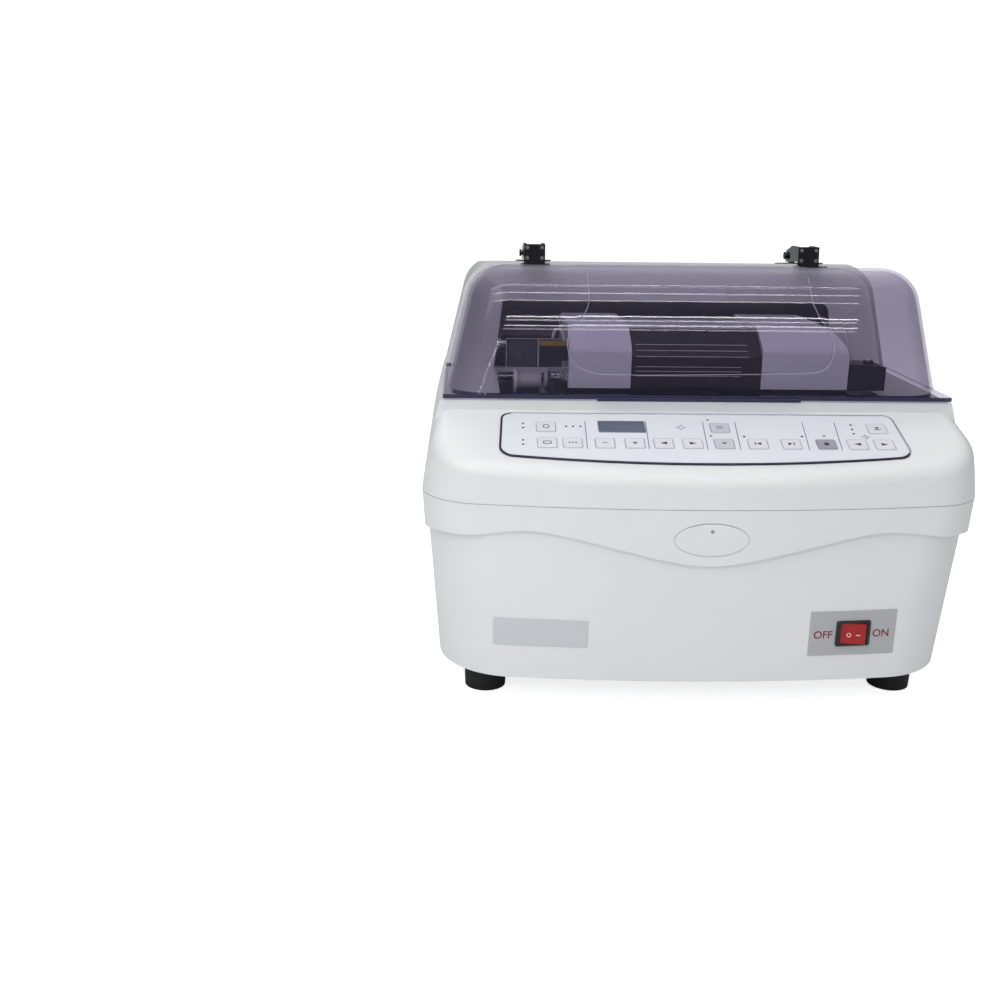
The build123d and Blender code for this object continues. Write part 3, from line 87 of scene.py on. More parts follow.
def material(name, srgb, rough=0.4, metal=0.0, vary=0.05, grain=60.0, bump=0.0, bump_scale=900.0,
             rough_vary=0.08, coat=0.0, coat_rough=0.1, ior=1.5, alpha=1.0, stretch=(1, 1, 1)):
    """Moulded, painted or machined surface: colour and roughness wander, and a fine relief at real scale."""
    m = bpy.data.materials.new(name)
    m.use_nodes = True
    tree = m.node_tree
    for old in list(tree.nodes):
        tree.nodes.remove(old)
    place = add(tree, "TexCoord").outputs["Object"]
    spread = add(tree, "Mapping", {"Scale": stretch}, {0: place}).outputs[0]

    blotches = add(tree, "TexNoise", {"Scale": grain, "Detail": 4.0}, {"Vector": spread}).outputs["Fac"]
    tone = add(tree, "ValToRGB", feeds={0: blotches})
    low, high = tone.color_ramp.elements
    low.position, high.position = 0.3, 0.7
    low.color = (*[max(0, v * (1 - vary)) for v in lin(srgb)], 1)
    high.color = (*[min(1, v * (1 + vary)) for v in lin(srgb)], 1)

    wear = add(tree, "TexNoise", {"Scale": grain * 0.35}, {"Vector": spread}).outputs["Fac"]
    dull = add(tree, "MapRange", {"To Min": max(0.0, rough - rough_vary * rough),
                                  "To Max": min(1.0, rough + rough_vary * rough)}, {0: wear})

    feeds = {"Base Color": tone.outputs[0], "Roughness": dull.outputs[0]}
    if bump:
        relief = add(tree, "TexNoise", {"Scale": bump_scale, "Detail": 2.0}, {"Vector": spread})
        dents = add(tree, "Bump", {"Strength": 1.0, "Distance": bump}, {"Height": relief.outputs["Fac"]})
        feeds["Normal"] = dents.outputs[0]
    fixed = {"Metallic": metal, "Coat Weight": coat, "Coat Roughness": coat_rough, "IOR": ior, "Alpha": alpha}
    surface = add(tree, "BsdfPrincipled", fixed, feeds)
    add(tree, "OutputMaterial", feeds={0: surface.outputs[0]})
    return m


WHITE = material("white_housing", (0.90, 0.902, 0.903), rough=0.30, vary=0.010, grain=9, bump=0.00002,
                 bump_scale=420, coat=0.25, coat_rough=0.12)
COVER = material("cover_white", (0.90, 0.90, 0.92), rough=0.26, vary=0.015, grain=12, bump=0.00002,
                 bump_scale=500, coat=0.35)
PANEL = material("panel_film", (0.885, 0.90, 0.915), rough=0.40, vary=0.012, grain=30, bump=0.000012,
                 bump_scale=2200)
# Painted shade and painted highlight: the panel's raised border is coloured dark navy where it stands for
# shade and silver where it stands for a highlight.
PANEL_SHADE_EDGE = material("panel_painted_shade", (0.11, 0.10, 0.20), rough=0.30, vary=0.06, grain=60)
PANEL_HIGHLIGHT_RIM = material("panel_painted_highlight", (0.72, 0.74, 0.78), rough=0.25, metal=0.5, vary=0.05, grain=60)
LINE = material("panel_lines", (0.42, 0.44, 0.50), rough=0.5, vary=0.05)
FRAME = material("key_frames", (0.70, 0.715, 0.74), rough=0.45, vary=0.04)
KEY = material("key_caps", (0.87, 0.88, 0.895), rough=0.38, vary=0.02, grain=90, bump=0.00001,
               bump_scale=2500)
KEY_MID = material("key_caps_mid", (0.78, 0.79, 0.81), rough=0.38, vary=0.02, grain=90, bump=0.00001,
                   bump_scale=2500)
KEY_DARK = material("key_cap_dark", (0.60, 0.61, 0.64), rough=0.38, vary=0.03, grain=90, bump=0.00001,
                    bump_scale=2500)
PRINT = material("key_print", (0.13, 0.13, 0.17), rough=0.5, vary=0.05)
SLATE = material("display_slate", (0.30, 0.35, 0.42), rough=0.16, vary=0.05, grain=40, coat=0.4)
LAMP = material("lamp_lens", (0.10, 0.09, 0.13), rough=0.25, vary=0.1, grain=400, coat=0.5)
BLACK = material("black_plastic", (0.075, 0.075, 0.08), rough=0.35, vary=0.12, grain=80, bump=0.00002,
                 bump_scale=1500)
GLOSS = material("black_gloss", (0.045, 0.042, 0.06), rough=0.12, vary=0.12, grain=80, bump=0.00001,
                 bump_scale=600, coat=0.7, coat_rough=0.05)
RED = material("rocker_red", (0.64, 0.03, 0.03), rough=0.34, vary=0.06, grain=70)
RED_PRINT = material("red_print", (0.50, 0.08, 0.14), rough=0.5, vary=0.05)
PALE_PRINT = material("pale_print", (0.90, 0.88, 0.86), rough=0.5, vary=0.03)
PLATE = material("plain_plate", (0.80, 0.81, 0.82), rough=0.36, metal=0.15, vary=0.02, grain=20,
                 bump=0.000008, bump_scale=1500, stretch=(1, 1, 14))
PLATE_DIM = material("switch_plate", (0.70, 0.71, 0.715), rough=0.36, metal=0.15, vary=0.02, grain=20,
                     bump=0.000008, bump_scale=1500, stretch=(1, 1, 14))
RUBBER = material("rubber", (0.045, 0.045, 0.047), rough=0.7, vary=0.2, grain=120, bump=0.00005,
                  bump_scale=700)
CAST = material("cast_paint", (0.16, 0.165, 0.18), rough=0.6, vary=0.08, grain=40, bump=0.00012,
                bump_scale=420)
STEEL = material("turned_steel", (0.66, 0.67, 0.69), rough=0.3, metal=1.0, vary=0.06, grain=50, bump=0.00001,
                 bump_scale=1600, stretch=(9, 1, 1))
CHROME = material("ground_chrome", (0.80, 0.81, 0.82), rough=0.12, metal=1.0, vary=0.03, grain=50,
                  bump=0.000004, bump_scale=1600, stretch=(6, 1, 1))
ALU = material("machined_aluminium", (0.73, 0.74, 0.76), rough=0.38, metal=0.9, vary=0.05, grain=60,
               bump=0.00002, bump_scale=900)
BRASS = material("brass", (0.74, 0.60, 0.33), rough=0.32, metal=1.0, vary=0.08, grain=60, bump=0.00001)
GRIT = material("diamond_grit", (0.46, 0.43, 0.38), rough=0.75, metal=0.3, vary=0.25, grain=1600, bump=0.0001,
                bump_scale=2600)
TUB = material("tub_plastic", (0.13, 0.135, 0.15), rough=0.5, vary=0.08, grain=30, bump=0.00004,
               bump_scale=600)
MOTOR = material("motor_paint", (0.17, 0.18, 0.20), rough=0.45, vary=0.1, grain=60, bump=0.00004)
BOARD = material("board_green", (0.06, 0.30, 0.17), rough=0.35, vary=0.12, grain=300, bump=0.00002)
VISOR = material("visor_smoke", (0.085, 0.07, 0.075), rough=0.42, vary=0.1, grain=20)
PAD = material("pad_rubber", (0.15, 0.15, 0.16), rough=0.7, vary=0.15, grain=200, bump=0.00003)
GUARD = material("guard_black", (0.09, 0.09, 0.10), rough=0.4, vary=0.1, grain=50, bump=0.00001)
GUARD_GREY = material("guard_grey", (0.30, 0.31, 0.32), rough=0.35, metal=0.4, vary=0.2, grain=120,
                      bump=0.00001)
# Painted highlight: a pale line that stands for the light caught on the raised edge of the lid's pad.
PAD_HIGHLIGHT_LINE = material("pad_painted_highlight", (0.80, 0.79, 0.86), rough=0.25, vary=0.05, alpha=0.5)


EDGE_TOP = 0.2866           # up to here the flange's edge is navy; the flange's own top is at 0.287
EDGE_FADE = 0.0003
LID_TINT = (0.945, 0.926, 0.992, 1)
LID_SOLID = (0.25, 0.36)    # how solid the lid looks: front and top, then its side walls
MIX_A, MIX_B, MIX_RESULT = 6, 7, 2      # the Mix node's colour sockets


def smoke_lid():
    """Lilac smoked plastic: a tinted see-through wall, deep navy on the front edge of its flange."""
    m = material("lid_smoke", (0.21, 0.195, 0.26), rough=0.012, vary=0.02, grain=6, rough_vary=0.2, ior=1.5,
                 coat=1.0, coat_rough=0.006)
    tree = m.node_tree
    wall = find(tree, "BSDF_PRINCIPLED")
    wall.inputs["Coat IOR"].default_value = 1.7
    where = add(tree, "TexCoord")
    place = add(tree, "SeparateXYZ", feeds={0: where.outputs["Object"]})
    facing = add(tree, "SeparateXYZ", feeds={0: where.outputs["Normal"]})

    # 0 on the flange's front edge, 1 everywhere else.
    above = add(tree, "MapRange", {"From Min": EDGE_TOP, "From Max": EDGE_TOP + EDGE_FADE},
                {0: place.outputs["Z"]})
    turned = add(tree, "MapRange", {"From Min": -0.5, "From Max": -0.3}, {0: facing.outputs["Y"]})
    clear = add(tree, "Math", feeds={0: above.outputs[0], 1: turned.outputs[0]})
    clear.operation = "MAXIMUM"

    sideways = add(tree, "Math", feeds={0: facing.outputs["X"]})
    sideways.operation = "ABSOLUTE"
    front, side = LID_SOLID
    body = add(tree, "MapRange", {"From Min": 0.35, "From Max": 0.8, "To Min": front, "To Max": side},
               {0: sideways.outputs[0]})
    solid = add(tree, "MapRange", {"To Min": 0.97}, {0: clear.outputs[0], "To Max": body.outputs[0]})

    plain = wall.inputs["Base Color"].links[0].from_socket
    colour = tree.nodes.new("ShaderNodeMix")
    colour.data_type = "RGBA"
    colour.inputs[MIX_A].default_value = (*lin((0.09, 0.07, 0.24)), 1)
    tree.links.new(clear.outputs[0], colour.inputs[0])
    tree.links.new(plain, colour.inputs[MIX_B])
    tree.links.new(colour.outputs[MIX_RESULT], wall.inputs["Base Color"])
    shine = add(tree, "MapRange", {"To Min": 0.1, "To Max": 1.0}, {0: clear.outputs[0]})
    tree.links.new(shine.outputs[0], wall.inputs["Coat Weight"])

    through = add(tree, "BsdfTransparent", {0: LID_TINT})
    both = add(tree, "MixShader", feeds={0: solid.outputs[0], 1: through.outputs[0], 2: wall.outputs[0]})
    tree.links.new(both.outputs[0], find(tree, "OUTPUT_MATERIAL").inputs[0])
    return m


LID = smoke_lid()

LOOK = {
    "base_housing": WHITE, "upper_cover": WHITE, "rear_hood": WHITE, "chassis_plate": STEEL,
    "rubber_feet": RUBBER, "control_panel": PANEL, "display_window": SLATE, "switch_bezel": BLACK,
    "power_rocker": RED, "grinding_tub": TUB, "machine_frame": CAST, "pivot_shaft": CHROME,
    "guide_rail": CHROME, "spindle_bearings": STEEL, "grinding_motor": MOTOR, "motor_pulley": STEEL,
    "drive_belt": RUBBER, "coolant_pipe": ALU, "power_inlet": BLACK, "water_inlet": BRASS,
    "drain_outlet": TUB, "hinge_leaves": BLACK, "hinge_springs": BRASS, "control_board": BOARD,
    "lid_dome": LID, "hinge_brackets": GLOSS, "bracket_screws": CHROME, "traverse_carrier": CAST,
    "carriage_frame": CAST, "left_arm_cover": COVER, "right_arm_cover": COVER, "carriage_bridge": COVER,
    "clamp_drive_block": BLACK, "guard_plate": GUARD, "splash_visor": VISOR, "left_lens_shaft": CHROME,
    "left_chuck_cup": BRASS, "pattern_holder": WHITE, "chuck_quill": STEEL, "right_lens_shaft": CHROME,
    "right_chuck_pad": PAD, "wheel_spindle": STEEL, "roughing_wheel": GRIT, "bevel_wheel": GRIT,
    "former_rest_shoe": STEEL, "key_test": KEY_MID, "key_lower": KEY_MID, "key_stop": KEY_DARK,
}
for name, obj in NODES.items():
    m = LOOK.get(name, KEY)
    if not obj.material_slots:
        obj.data.materials.append(m)
    for s in obj.material_slots:
        s.material = m


# ------------------------------------------------------------------ mesh helpers
def new_object(name, bm, mat, body, bevel=0.0, segments=2, smooth=True):
    me = bpy.data.meshes.new(name)
    bmesh.ops.recalc_face_normals(bm, faces=bm.faces)
    bm.to_mesh(me)
    bm.free()
    o = bpy.data.objects.new(name, me)
    bpy.context.scene.collection.objects.link(o)
    me.materials.append(mat)
    if bevel:
        b = o.modifiers.new("bevel", "BEVEL")
        b.width = bevel
        b.segments = segments
        b.limit_method = "ANGLE"
        b.angle_limit = radians(35)
    if smooth:
        for f in me.polygons:
            f.use_smooth = True
        w = o.modifiers.new("normals", "WEIGHTED_NORMAL")
        w.keep_sharp = True
    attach(o, body)
    return o


class Face:
    """A flat working plane: origin, x along it, n out of it, in metres."""

    def __init__(self, origin, x, n):
        self.o, self.x, self.n = Vector(origin), Vector(x).normalized(), Vector(n).normalized()
        self.y = self.n.cross(self.x)

    def at(self, u, v, w=0.0):
        return self.o + self.x * u + self.y * v + self.n * w


class BowedFront:
    """The bowed lower front: u is X, v is Z, w stands out of the surface."""

    foot_z, wall_high = 0.030, 0.1712
    foot_radius, radius_loss = 1.5, 0.2     # the bow gets tighter towards the top
    foot_y, lean = -0.2075, 0.0043          # and the wall leans outwards

    def at(self, u, v, w=0.0):
        height = (v - self.foot_z) / self.wall_high
        radius = self.foot_radius - self.radius_loss * height
        turn = u / radius
        front = self.foot_y - self.lean * height
        return Vector((u + w * turn, front + radius - sqrt(radius * radius - u * u) - w, v))


def rounded(w, h, r, steps=5, cx=0.0, cy=0.0):
    """Outline of a rectangle with round corners."""
    pts = []
    for k, (sx, sy) in enumerate(((1, 1), (-1, 1), (-1, -1), (1, -1))):
        for i in range(steps + 1):
            a = k * pi / 2 + i / steps * pi / 2
            pts.append((cx + sx * (w / 2 - r) + r * cos(a), cy + sy * (h / 2 - r) + r * sin(a)))
    return pts


def slab(bm, face, pts, low, high):
    """Prism over an outline in the plane, from low to high along its normal."""
    a = [bm.verts.new(face.at(u, v, low)) for u, v in pts]
    b = [bm.verts.new(face.at(u, v, high)) for u, v in pts]
    bm.faces.new(a[::-1])
    bm.faces.new(b)
    for i in range(len(pts)):
        j = (i + 1) % len(pts)
        bm.faces.new((a[i], a[j], b[j], b[i]))


def band(bm, face, outer, inner, low, high):
    """Ring between two outlines with equal point counts."""
    rows = [[bm.verts.new(face.at(u, v, w)) for u, v in pts]
            for pts, w in ((outer, low), (outer, high), (inner, high), (inner, low))]
    for r in range(4):
        p, q = rows[r], rows[(r + 1) % 4]
        for i in range(len(outer)):
            j = (i + 1) % len(outer)
            bm.faces.new((p[i], p[j], q[j], q[i]))


def sheet_on(bm, face, w, h, cx, cy, thick, columns=12):
    """Thin plate that follows a curved face."""
    rows = []
    for lift in (-0.0003, thick):
        rows.append([[bm.verts.new(face.at(cx - w / 2 + w * i / columns, cy + s * h / 2, lift))
                      for i in range(columns + 1)] for s in (-1, 1)])
    (a0, a1), (b0, b1) = rows
    for i in range(columns):
        bm.faces.new((b0[i], b0[i + 1], b1[i + 1], b1[i]))
        bm.faces.new((a0[i], a1[i], a1[i + 1], a0[i + 1]))
        bm.faces.new((a0[i], a0[i + 1], b0[i + 1], b0[i]))
        bm.faces.new((a1[i], b1[i], b1[i + 1], a1[i + 1]))
    for i in (0, columns):
        bm.faces.new((a0[i], b0[i], b1[i], a1[i]))


def ring_points(r, count, cx=0.0, cy=0.0):
    return [(cx + r * cos(2 * pi * i / count), cy + r * sin(2 * pi * i / count)) for i in range(count)]


def dome(bm, face, u, v, r, height, low=0.0, rings=4, count=16):
    """Low rounded cap, such as a lamp lens or a screw head."""
    prev = [bm.verts.new(face.at(a, b, low)) for a, b in ring_points(r, count, u, v)]
    for k in range(1, rings):
        t = k / rings * pi / 2
        cur = [bm.verts.new(face.at(a, b, low + height * sin(t)))
               for a, b in ring_points(r * cos(t), count, u, v)]
        for i in range(count):
            j = (i + 1) % count
            bm.faces.new((prev[i], prev[j], cur[j], cur[i]))
        prev = cur
    top = bm.verts.new(face.at(u, v, low + height))
    for i in range(count):
        bm.faces.new((prev[i], prev[(i + 1) % count], top))


def rod(bm, a, b, r, count=12):
    """Straight round bar from a to b."""
    a, b = Vector(a), Vector(b)
    z = (b - a).normalized()
    x = z.orthogonal().normalized()
    f = Face(a, x, z)
    slab(bm, f, ring_points(r, count), 0.0, (b - a).length)


def tube(bm, path, r, count=10):
    """Round bar along a smooth chain of points."""
    path = [Vector(p) for p in path]
    side = None
    rings = []
    for i, p in enumerate(path):
        ahead = (path[min(i + 1, len(path) - 1)] - path[max(i - 1, 0)]).normalized()
        side = ahead.orthogonal() if side is None else side - ahead * side.dot(ahead)
        side.normalize()
        up = ahead.cross(side)
        rings.append([bm.verts.new(p + side * r * cos(2 * pi * k / count) + up * r * sin(2 * pi * k / count))
                      for k in range(count)])
    for a, b in zip(rings, rings[1:]):
        for k in range(count):
            j = (k + 1) % count
            bm.faces.new((a[k], a[j], b[j], b[k]))
    bm.faces.new(rings[0][::-1])
    bm.faces.new(rings[-1])


# ------------------------------------------------------------------ control panel
SLOPE = radians(22.0)
panel = Face((0, -0.179, 0.244645), (1, 0, 0), (0, -sin(SLOPE), cos(SLOPE)))
TOP = 0.0012                            # heights over the panel's plane: its film, then the key caps
KEY_TOP = 0.0019
PANEL_X = -0.002                        # middle of the panel
BORDER = (-0.0006, TOP + 0.0003)        # from and to, along the panel's normal
LINES = (TOP - 0.0001, TOP + 0.00012)
SYMBOLS = (TOP - 0.0001, TOP + 0.0001)
KEY_RIM = (TOP - 0.0002, TOP + 0.00018)
DISPLAY_RIM = (TOP - 0.0002, TOP + 0.0002)
KEY_MARK = (KEY_TOP - 0.00005, KEY_TOP + 0.00008)
FOOT_S, HIGH_S = -0.005, 0.0641         # foot corners and upper edge, up the slope
HALF_FOOT, HALF_TOP = 0.1915, 0.188     # half widths at those heights
HALF_BOW = 0.1775                       # half width of the bowed stretch of the foot
BOW = 0.0133                            # how far the foot sinks in its middle
CORNERS = (0.015, 0.010, 0.010, 0.015)  # radii: lower right, upper right, upper left, lower left


def bowed_foot(steps=24):
    """Foot of the panel from left to right: an arc through both corners, BOW deep."""
    radius = (HALF_FOOT * HALF_FOOT + BOW * BOW) / (2 * BOW)
    foot = []
    for i in range(2 * steps + 1):
        x = (i / steps - 1) * HALF_BOW
        foot.append(Vector((x, FOOT_S - (sqrt(radius * radius - x * x) - (radius - BOW)))))
    return foot


def round_corner(before, corner, after, r, steps=9):
    """Points of the arc that takes a corner off."""
    u, v = (before - corner).normalized(), (after - corner).normalized()
    half = u.angle(v) / 2
    centre = corner + (u + v).normalized() * (r / sin(half))
    first = corner + u * (r / tan(half)) - centre
    last = corner + v * (r / tan(half)) - centre
    start = atan2(first.y, first.x)
    turn = (atan2(last.y, last.x) - start + pi) % (2 * pi) - pi
    angles = [start + turn * i / (steps - 1) for i in range(steps)]
    return [centre + Vector((cos(a), sin(a))) * r for a in angles]


def panel_ring(d):
    """Panel outline drawn in by d, with its bowed foot and rounded corners."""
    ring = bowed_foot()
    corner = [ring[-1], Vector((HALF_FOOT, FOOT_S)), Vector((HALF_TOP, HIGH_S)), Vector((-HALF_TOP, HIGH_S)),
              Vector((-HALF_FOOT, FOOT_S)), ring[0]]
    for k, r in enumerate(CORNERS):
        ring += round_corner(*corner[k:k + 3], r)
    out = []
    for i, p in enumerate(ring):
        inward = Vector((0, 0))
        for edge in (p - ring[i - 1], ring[(i + 1) % len(ring)] - p):
            if edge.length > 1e-7:
                edge = edge.normalized()
                inward += Vector((-edge.y, edge.x))
        q = p + inward.normalized() * d
        out.append((q.x + PANEL_X, q.y))
    return out


# The border's colour is painted light: painted shade, dark navy, along the foot and the left side, and a
# painted highlight, silver, along the top and the right side.
outer, inner = panel_ring(-0.0001), panel_ring(0.0019)
count = len(outer)
painted_shade_sides = [i for i in range(count) if outer[i][1] < 0.002 or outer[i][0] < -0.17]
for name, mat, wanted in (("panel_border_painted_shade", PANEL_SHADE_EDGE, True), ("panel_border_painted_highlight", PANEL_HIGHLIGHT_RIM, False)):
    bm = bmesh.new()
    rows = [[bm.verts.new(panel.at(u, v, w)) for u, v in pts]
            for pts, w in ((outer, BORDER[0]), (outer, BORDER[1]), (inner, BORDER[1]), (inner, BORDER[0]))]
    for r in range(4):
        p, q = rows[r], rows[(r + 1) % 4]
        for i in range(count):
            j = (i + 1) % count
            if (i in painted_shade_sides and j in painted_shade_sides) == wanted:
                bm.faces.new((p[i], p[j], q[j], q[i]))
    loose = [v for v in bm.verts if not v.link_faces]
    bmesh.ops.delete(bm, geom=loose, context="VERTS")
    ends = [e for e in bm.edges if len(e.link_faces) == 1]
    bmesh.ops.holes_fill(bm, edges=ends, sides=4)
    new_object(name, bm, mat, "housing")

# Dividers: X of their foot and of their upper end.
bm = bmesh.new()
DIVIDER_FOOT, DIVIDER_HEAD, HALF_LINE = 0.0051, 0.0507, 0.0004
for low, high in ((-0.1117, -0.1107), (-0.0546, -0.0530), (-0.0005, 0.0016), (0.0300, 0.0324),
                  (0.0940, 0.0971), (0.1246, 0.1279)):
    slab(bm, panel, [(low - HALF_LINE, DIVIDER_FOOT), (low + HALF_LINE, DIVIDER_FOOT),
                     (high + HALF_LINE, DIVIDER_HEAD), (high - HALF_LINE, DIVIDER_HEAD)], *LINES)
new_object("panel_dividers", bm, LINE, "housing", smooth=False)

bm = bmesh.new()
for x, s in ((-0.1696, 0.0460), (-0.1697, 0.0389), (-0.1705, 0.0188), (-0.1707, 0.0120), (-0.1290, 0.0416),
             (-0.1225, 0.0416), (-0.1155, 0.0417), (0.0070, 0.0540), (0.0057, 0.0270), (0.0371, 0.0265),
             (0.0918, 0.0273), (0.1130, 0.0283), (0.1430, 0.0471), (0.1425, 0.0396), (0.1421, 0.0324)):
    dome(bm, panel, x, s, 0.0013, 0.0005, TOP - 0.0001)
new_object("indicator_lamps", bm, LAMP, "housing")

bm = bmesh.new()
DISPLAY = (-0.0766, 0.0414)
band(bm, panel, rounded(0.0449, 0.0194, 0.0016, 4, *DISPLAY), rounded(0.0431, 0.0176, 0.0008, 4, *DISPLAY),
     *DISPLAY_RIM)
new_object("display_frame", bm, LINE, "housing", bevel=0.0001)

ROW = {"low": 0.0142, "high": 0.0404}
KEYS = {
    "lens": (-0.1482, "high"), "frame": (-0.1482, "low"), "mode": (-0.1247, "low"),
    "size_down": (-0.0946, "low"), "size_up": (-0.0668, "low"), "width_down": (-0.0401, "low"),
    "width_up": (-0.0131, "low"), "test": (0.0163, "high"), "lower": (0.0163, "low"),
    "start_left": (0.0477, "low"), "start_right": (0.0790, "low"), "stop": (0.1119, "low"),
    "press": (0.1664, "high"), "chuck_close": (0.1412, "low"), "chuck_open": (0.1664, "low"),
}
bm = bmesh.new()
for x, row in KEYS.values():
    s = ROW[row]
    band(bm, panel, rounded(0.0192, 0.0168, 0.0024, 4, x, s), rounded(0.0182, 0.0158, 0.0019, 4, x, s),
         *KEY_RIM)
new_object("key_frames", bm, FRAME, "housing", smooth=False)


def bar(w, h, x=0.0, y=0.0):
    """Outline of a plain rectangle about x, y."""
    return [(x - w / 2, y - h / 2), (x + w / 2, y - h / 2), (x + w / 2, y + h / 2), (x - w / 2, y + h / 2)]


def arrow(tip, back):
    """Outline of a triangle that points along x, towards tip."""
    spread = 0.0022 if tip > back else -0.0022
    return [(tip, 0.0), (back, spread), (back, -spread)]


MARKS = {
    "size_down": [bar(0.0042, 0.0010)],
    "size_up": [bar(0.0044, 0.0011), bar(0.0011, 0.0016, 0, 0.00135), bar(0.0011, 0.0016, 0, -0.00135)],
    "width_down": [arrow(-0.0034, 0.0030)], "width_up": [arrow(0.0034, -0.0030)],
    "chuck_close": [arrow(-0.0034, 0.0030)], "chuck_open": [arrow(0.0034, -0.0030)],
    "lower": [[(0.0, -0.0018), (0.0024, 0.0018), (0.0009, 0.0018), (0.0, 0.0002), (-0.0009, 0.0018),
               (-0.0024, 0.0018)]],
    "mode": [bar(0.0016, 0.0016, -0.0032), bar(0.0016, 0.0016), bar(0.0016, 0.0016, 0.0032)],
    "test": [bar(0.0064, 0.0008, 0, 0.0014), bar(0.0064, 0.0008, 0, -0.0014)],
    "start_left": [bar(0.0010, 0.0044, -0.0026), arrow(-0.0014, 0.0030)],
    "start_right": [bar(0.0010, 0.0044, 0.0026), arrow(0.0014, -0.0030)],
    "stop": [bar(0.0044, 0.0040)],
    "press": [bar(0.0060, 0.0010, 0, -0.0018), [(0.0, -0.0010), (0.0024, 0.0022), (-0.0024, 0.0022)]],
}
HOLLOW_MARKS = {
    "lens": (ring_points(0.0032, 20), ring_points(0.0023, 20)),
    "frame": (rounded(0.0078, 0.0050, 0.0014, 4), rounded(0.0060, 0.0032, 0.0008, 4)),
}
for key, (x, row) in KEYS.items():
    spot = Face(panel.at(x, ROW[row]), panel.x, panel.n)
    bm = bmesh.new()
    for pts in MARKS.get(key, ()):
        slab(bm, spot, pts, *KEY_MARK)
    if key in HOLLOW_MARKS:
        band(bm, spot, *HOLLOW_MARKS[key], *KEY_MARK)
    new_object("mark_" + key, bm, PRINT, "button_" + key, smooth=False)

# Chuck and diameter symbols between the keys: a crossed ring.
bm = bmesh.new()
for x, s, r in ((-0.0206, 0.0408, 0.0028), (0.1522, 0.0270, 0.0022)):
    band(bm, panel, ring_points(r, 20, x, s), ring_points(r - 0.0006, 20, x, s), *SYMBOLS)
    for way in (-1, 1):
        slab(bm, panel, bar(0.0024, 0.0006, x + way * (r + 0.0012), s), *SYMBOLS)
        slab(bm, panel, bar(0.0006, 0.0020, x, s + way * (r + 0.0010)), *SYMBOLS)
new_object("panel_symbols", bm, LINE, "housing", smooth=False)


# ------------------------------------------------------------------ front plates and switch
front = BowedFront()
PLATE_THICK = 0.0006
NAME_PLATE = (0.0886, 0.0274, -0.1527, 0.0769)      # width, height and middle
SWITCH_PLATE = (0.0844, 0.0447, 0.1414, 0.07795)
bm = bmesh.new()
sheet_on(bm, front, *NAME_PLATE, PLATE_THICK)
new_object("name_plate", bm, PLATE, "housing", bevel=0.0004, smooth=False)

bm = bmesh.new()
sheet_on(bm, front, *SWITCH_PLATE, PLATE_THICK)
new_object("switch_plate", bm, PLATE_DIM, "housing", bevel=0.0004, smooth=False)

SWITCH_Z = 0.0765
WORD_SIZE, WORD_LIFT = 0.0105, 0.00068


def letters(name, text, x, body):
    """Flat raised lettering on the switch plate."""
    cu = bpy.data.curves.new(name, "FONT")
    cu.body = text
    cu.size = WORD_SIZE
    cu.align_x = "CENTER"
    cu.align_y = "CENTER"
    cu.extrude = 0.00004
    cu.offset = 0.00012
    o = bpy.data.objects.new(name, cu)
    bpy.context.scene.collection.objects.link(o)
    here = front.at(x, SWITCH_Z, WORD_LIFT)
    right = (front.at(x + 0.001, SWITCH_Z, WORD_LIFT) - here).normalized()
    up = (front.at(x, SWITCH_Z + 0.001, WORD_LIFT) - here).normalized()
    out = right.cross(up).normalized()
    m = Matrix((right, out.cross(right), out)).transposed().to_4x4()
    m.translation = here
    o.matrix_world = m
    cu.materials.append(RED_PRINT)
    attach(o, body)


letters("switch_off_word", "OFF", 0.1125, "housing")
letters("switch_on_word", "ON", 0.1692, "housing")


def on_node(node, start, way):
    """Where a ray meets a CAD node, and the node's normal there."""
    o = NODES[node]
    inv = o.matrix_world.inverted()
    _, where, normal, _ = o.ray_cast(inv @ Vector(start), (inv.to_3x3() @ Vector(way)).normalized())
    return o.matrix_world @ where, (o.matrix_world.to_3x3() @ normal).normalized()


BEFORE_FRONT = -0.23        # Y of a point clear of the lower front
REARWARD = (0, 1, 0)
ROCKER_MARK = (-0.0001, 0.00012)
bpy.context.view_layer.update()
bm = bmesh.new()
for x, kind in ((0.1372, "ring"), (0.1458, "line")):
    here, out = on_node("power_rocker", (x, BEFORE_FRONT, SWITCH_Z), REARWARD)
    spot = Face(here, Vector((1, 0, 0)) - out * out.x, out)
    if kind == "ring":
        band(bm, spot, ring_points(0.0021, 20), ring_points(0.0015, 20), *ROCKER_MARK)
    else:
        slab(bm, spot, bar(0.0040, 0.0008), *ROCKER_MARK)
new_object("rocker_marks", bm, PALE_PRINT, "rocker", smooth=False)


# ------------------------------------------------------------------ behind the lid
# Guard plate of the left bay: a thin light frame and two plain fields.
guard = Face((-0.1539, -0.082, 0.3215), (1, 0, 0), (0, -1, 0))
GUARD_RIM = (-0.0002, 0.0003)
GUARD_FIELD = (-0.0001, 0.0003)
bm = bmesh.new()
band(bm, guard, rounded(0.0616, 0.0284, 0.0006, 3), rounded(0.0606, 0.0274, 0.0004, 3), *GUARD_RIM)
band(bm, guard, rounded(0.0016, 0.0262, 0.0004, 3, 0.0006), rounded(0.0006, 0.0252, 0.0002, 3, 0.0006),
     *GUARD_RIM)
new_object("guard_frame", bm, PLATE, "carriage", smooth=False)
bm = bmesh.new()
slab(bm, guard, rounded(0.0272, 0.0246, 0.0010, 3, -0.0150), *GUARD_FIELD)
dome(bm, guard, -0.0175, -0.0035, 0.0050, 0.0018, 0.0002, 5, 20)
new_object("guard_boss", bm, GUARD_GREY, "carriage", bevel=0.0001)
bm = bmesh.new()
slab(bm, guard, rounded(0.0272, 0.0050, 0.0004, 3, 0.0156, 0.0098), *GUARD_FIELD)
new_object("guard_strip", bm, BRASS, "carriage", smooth=False)

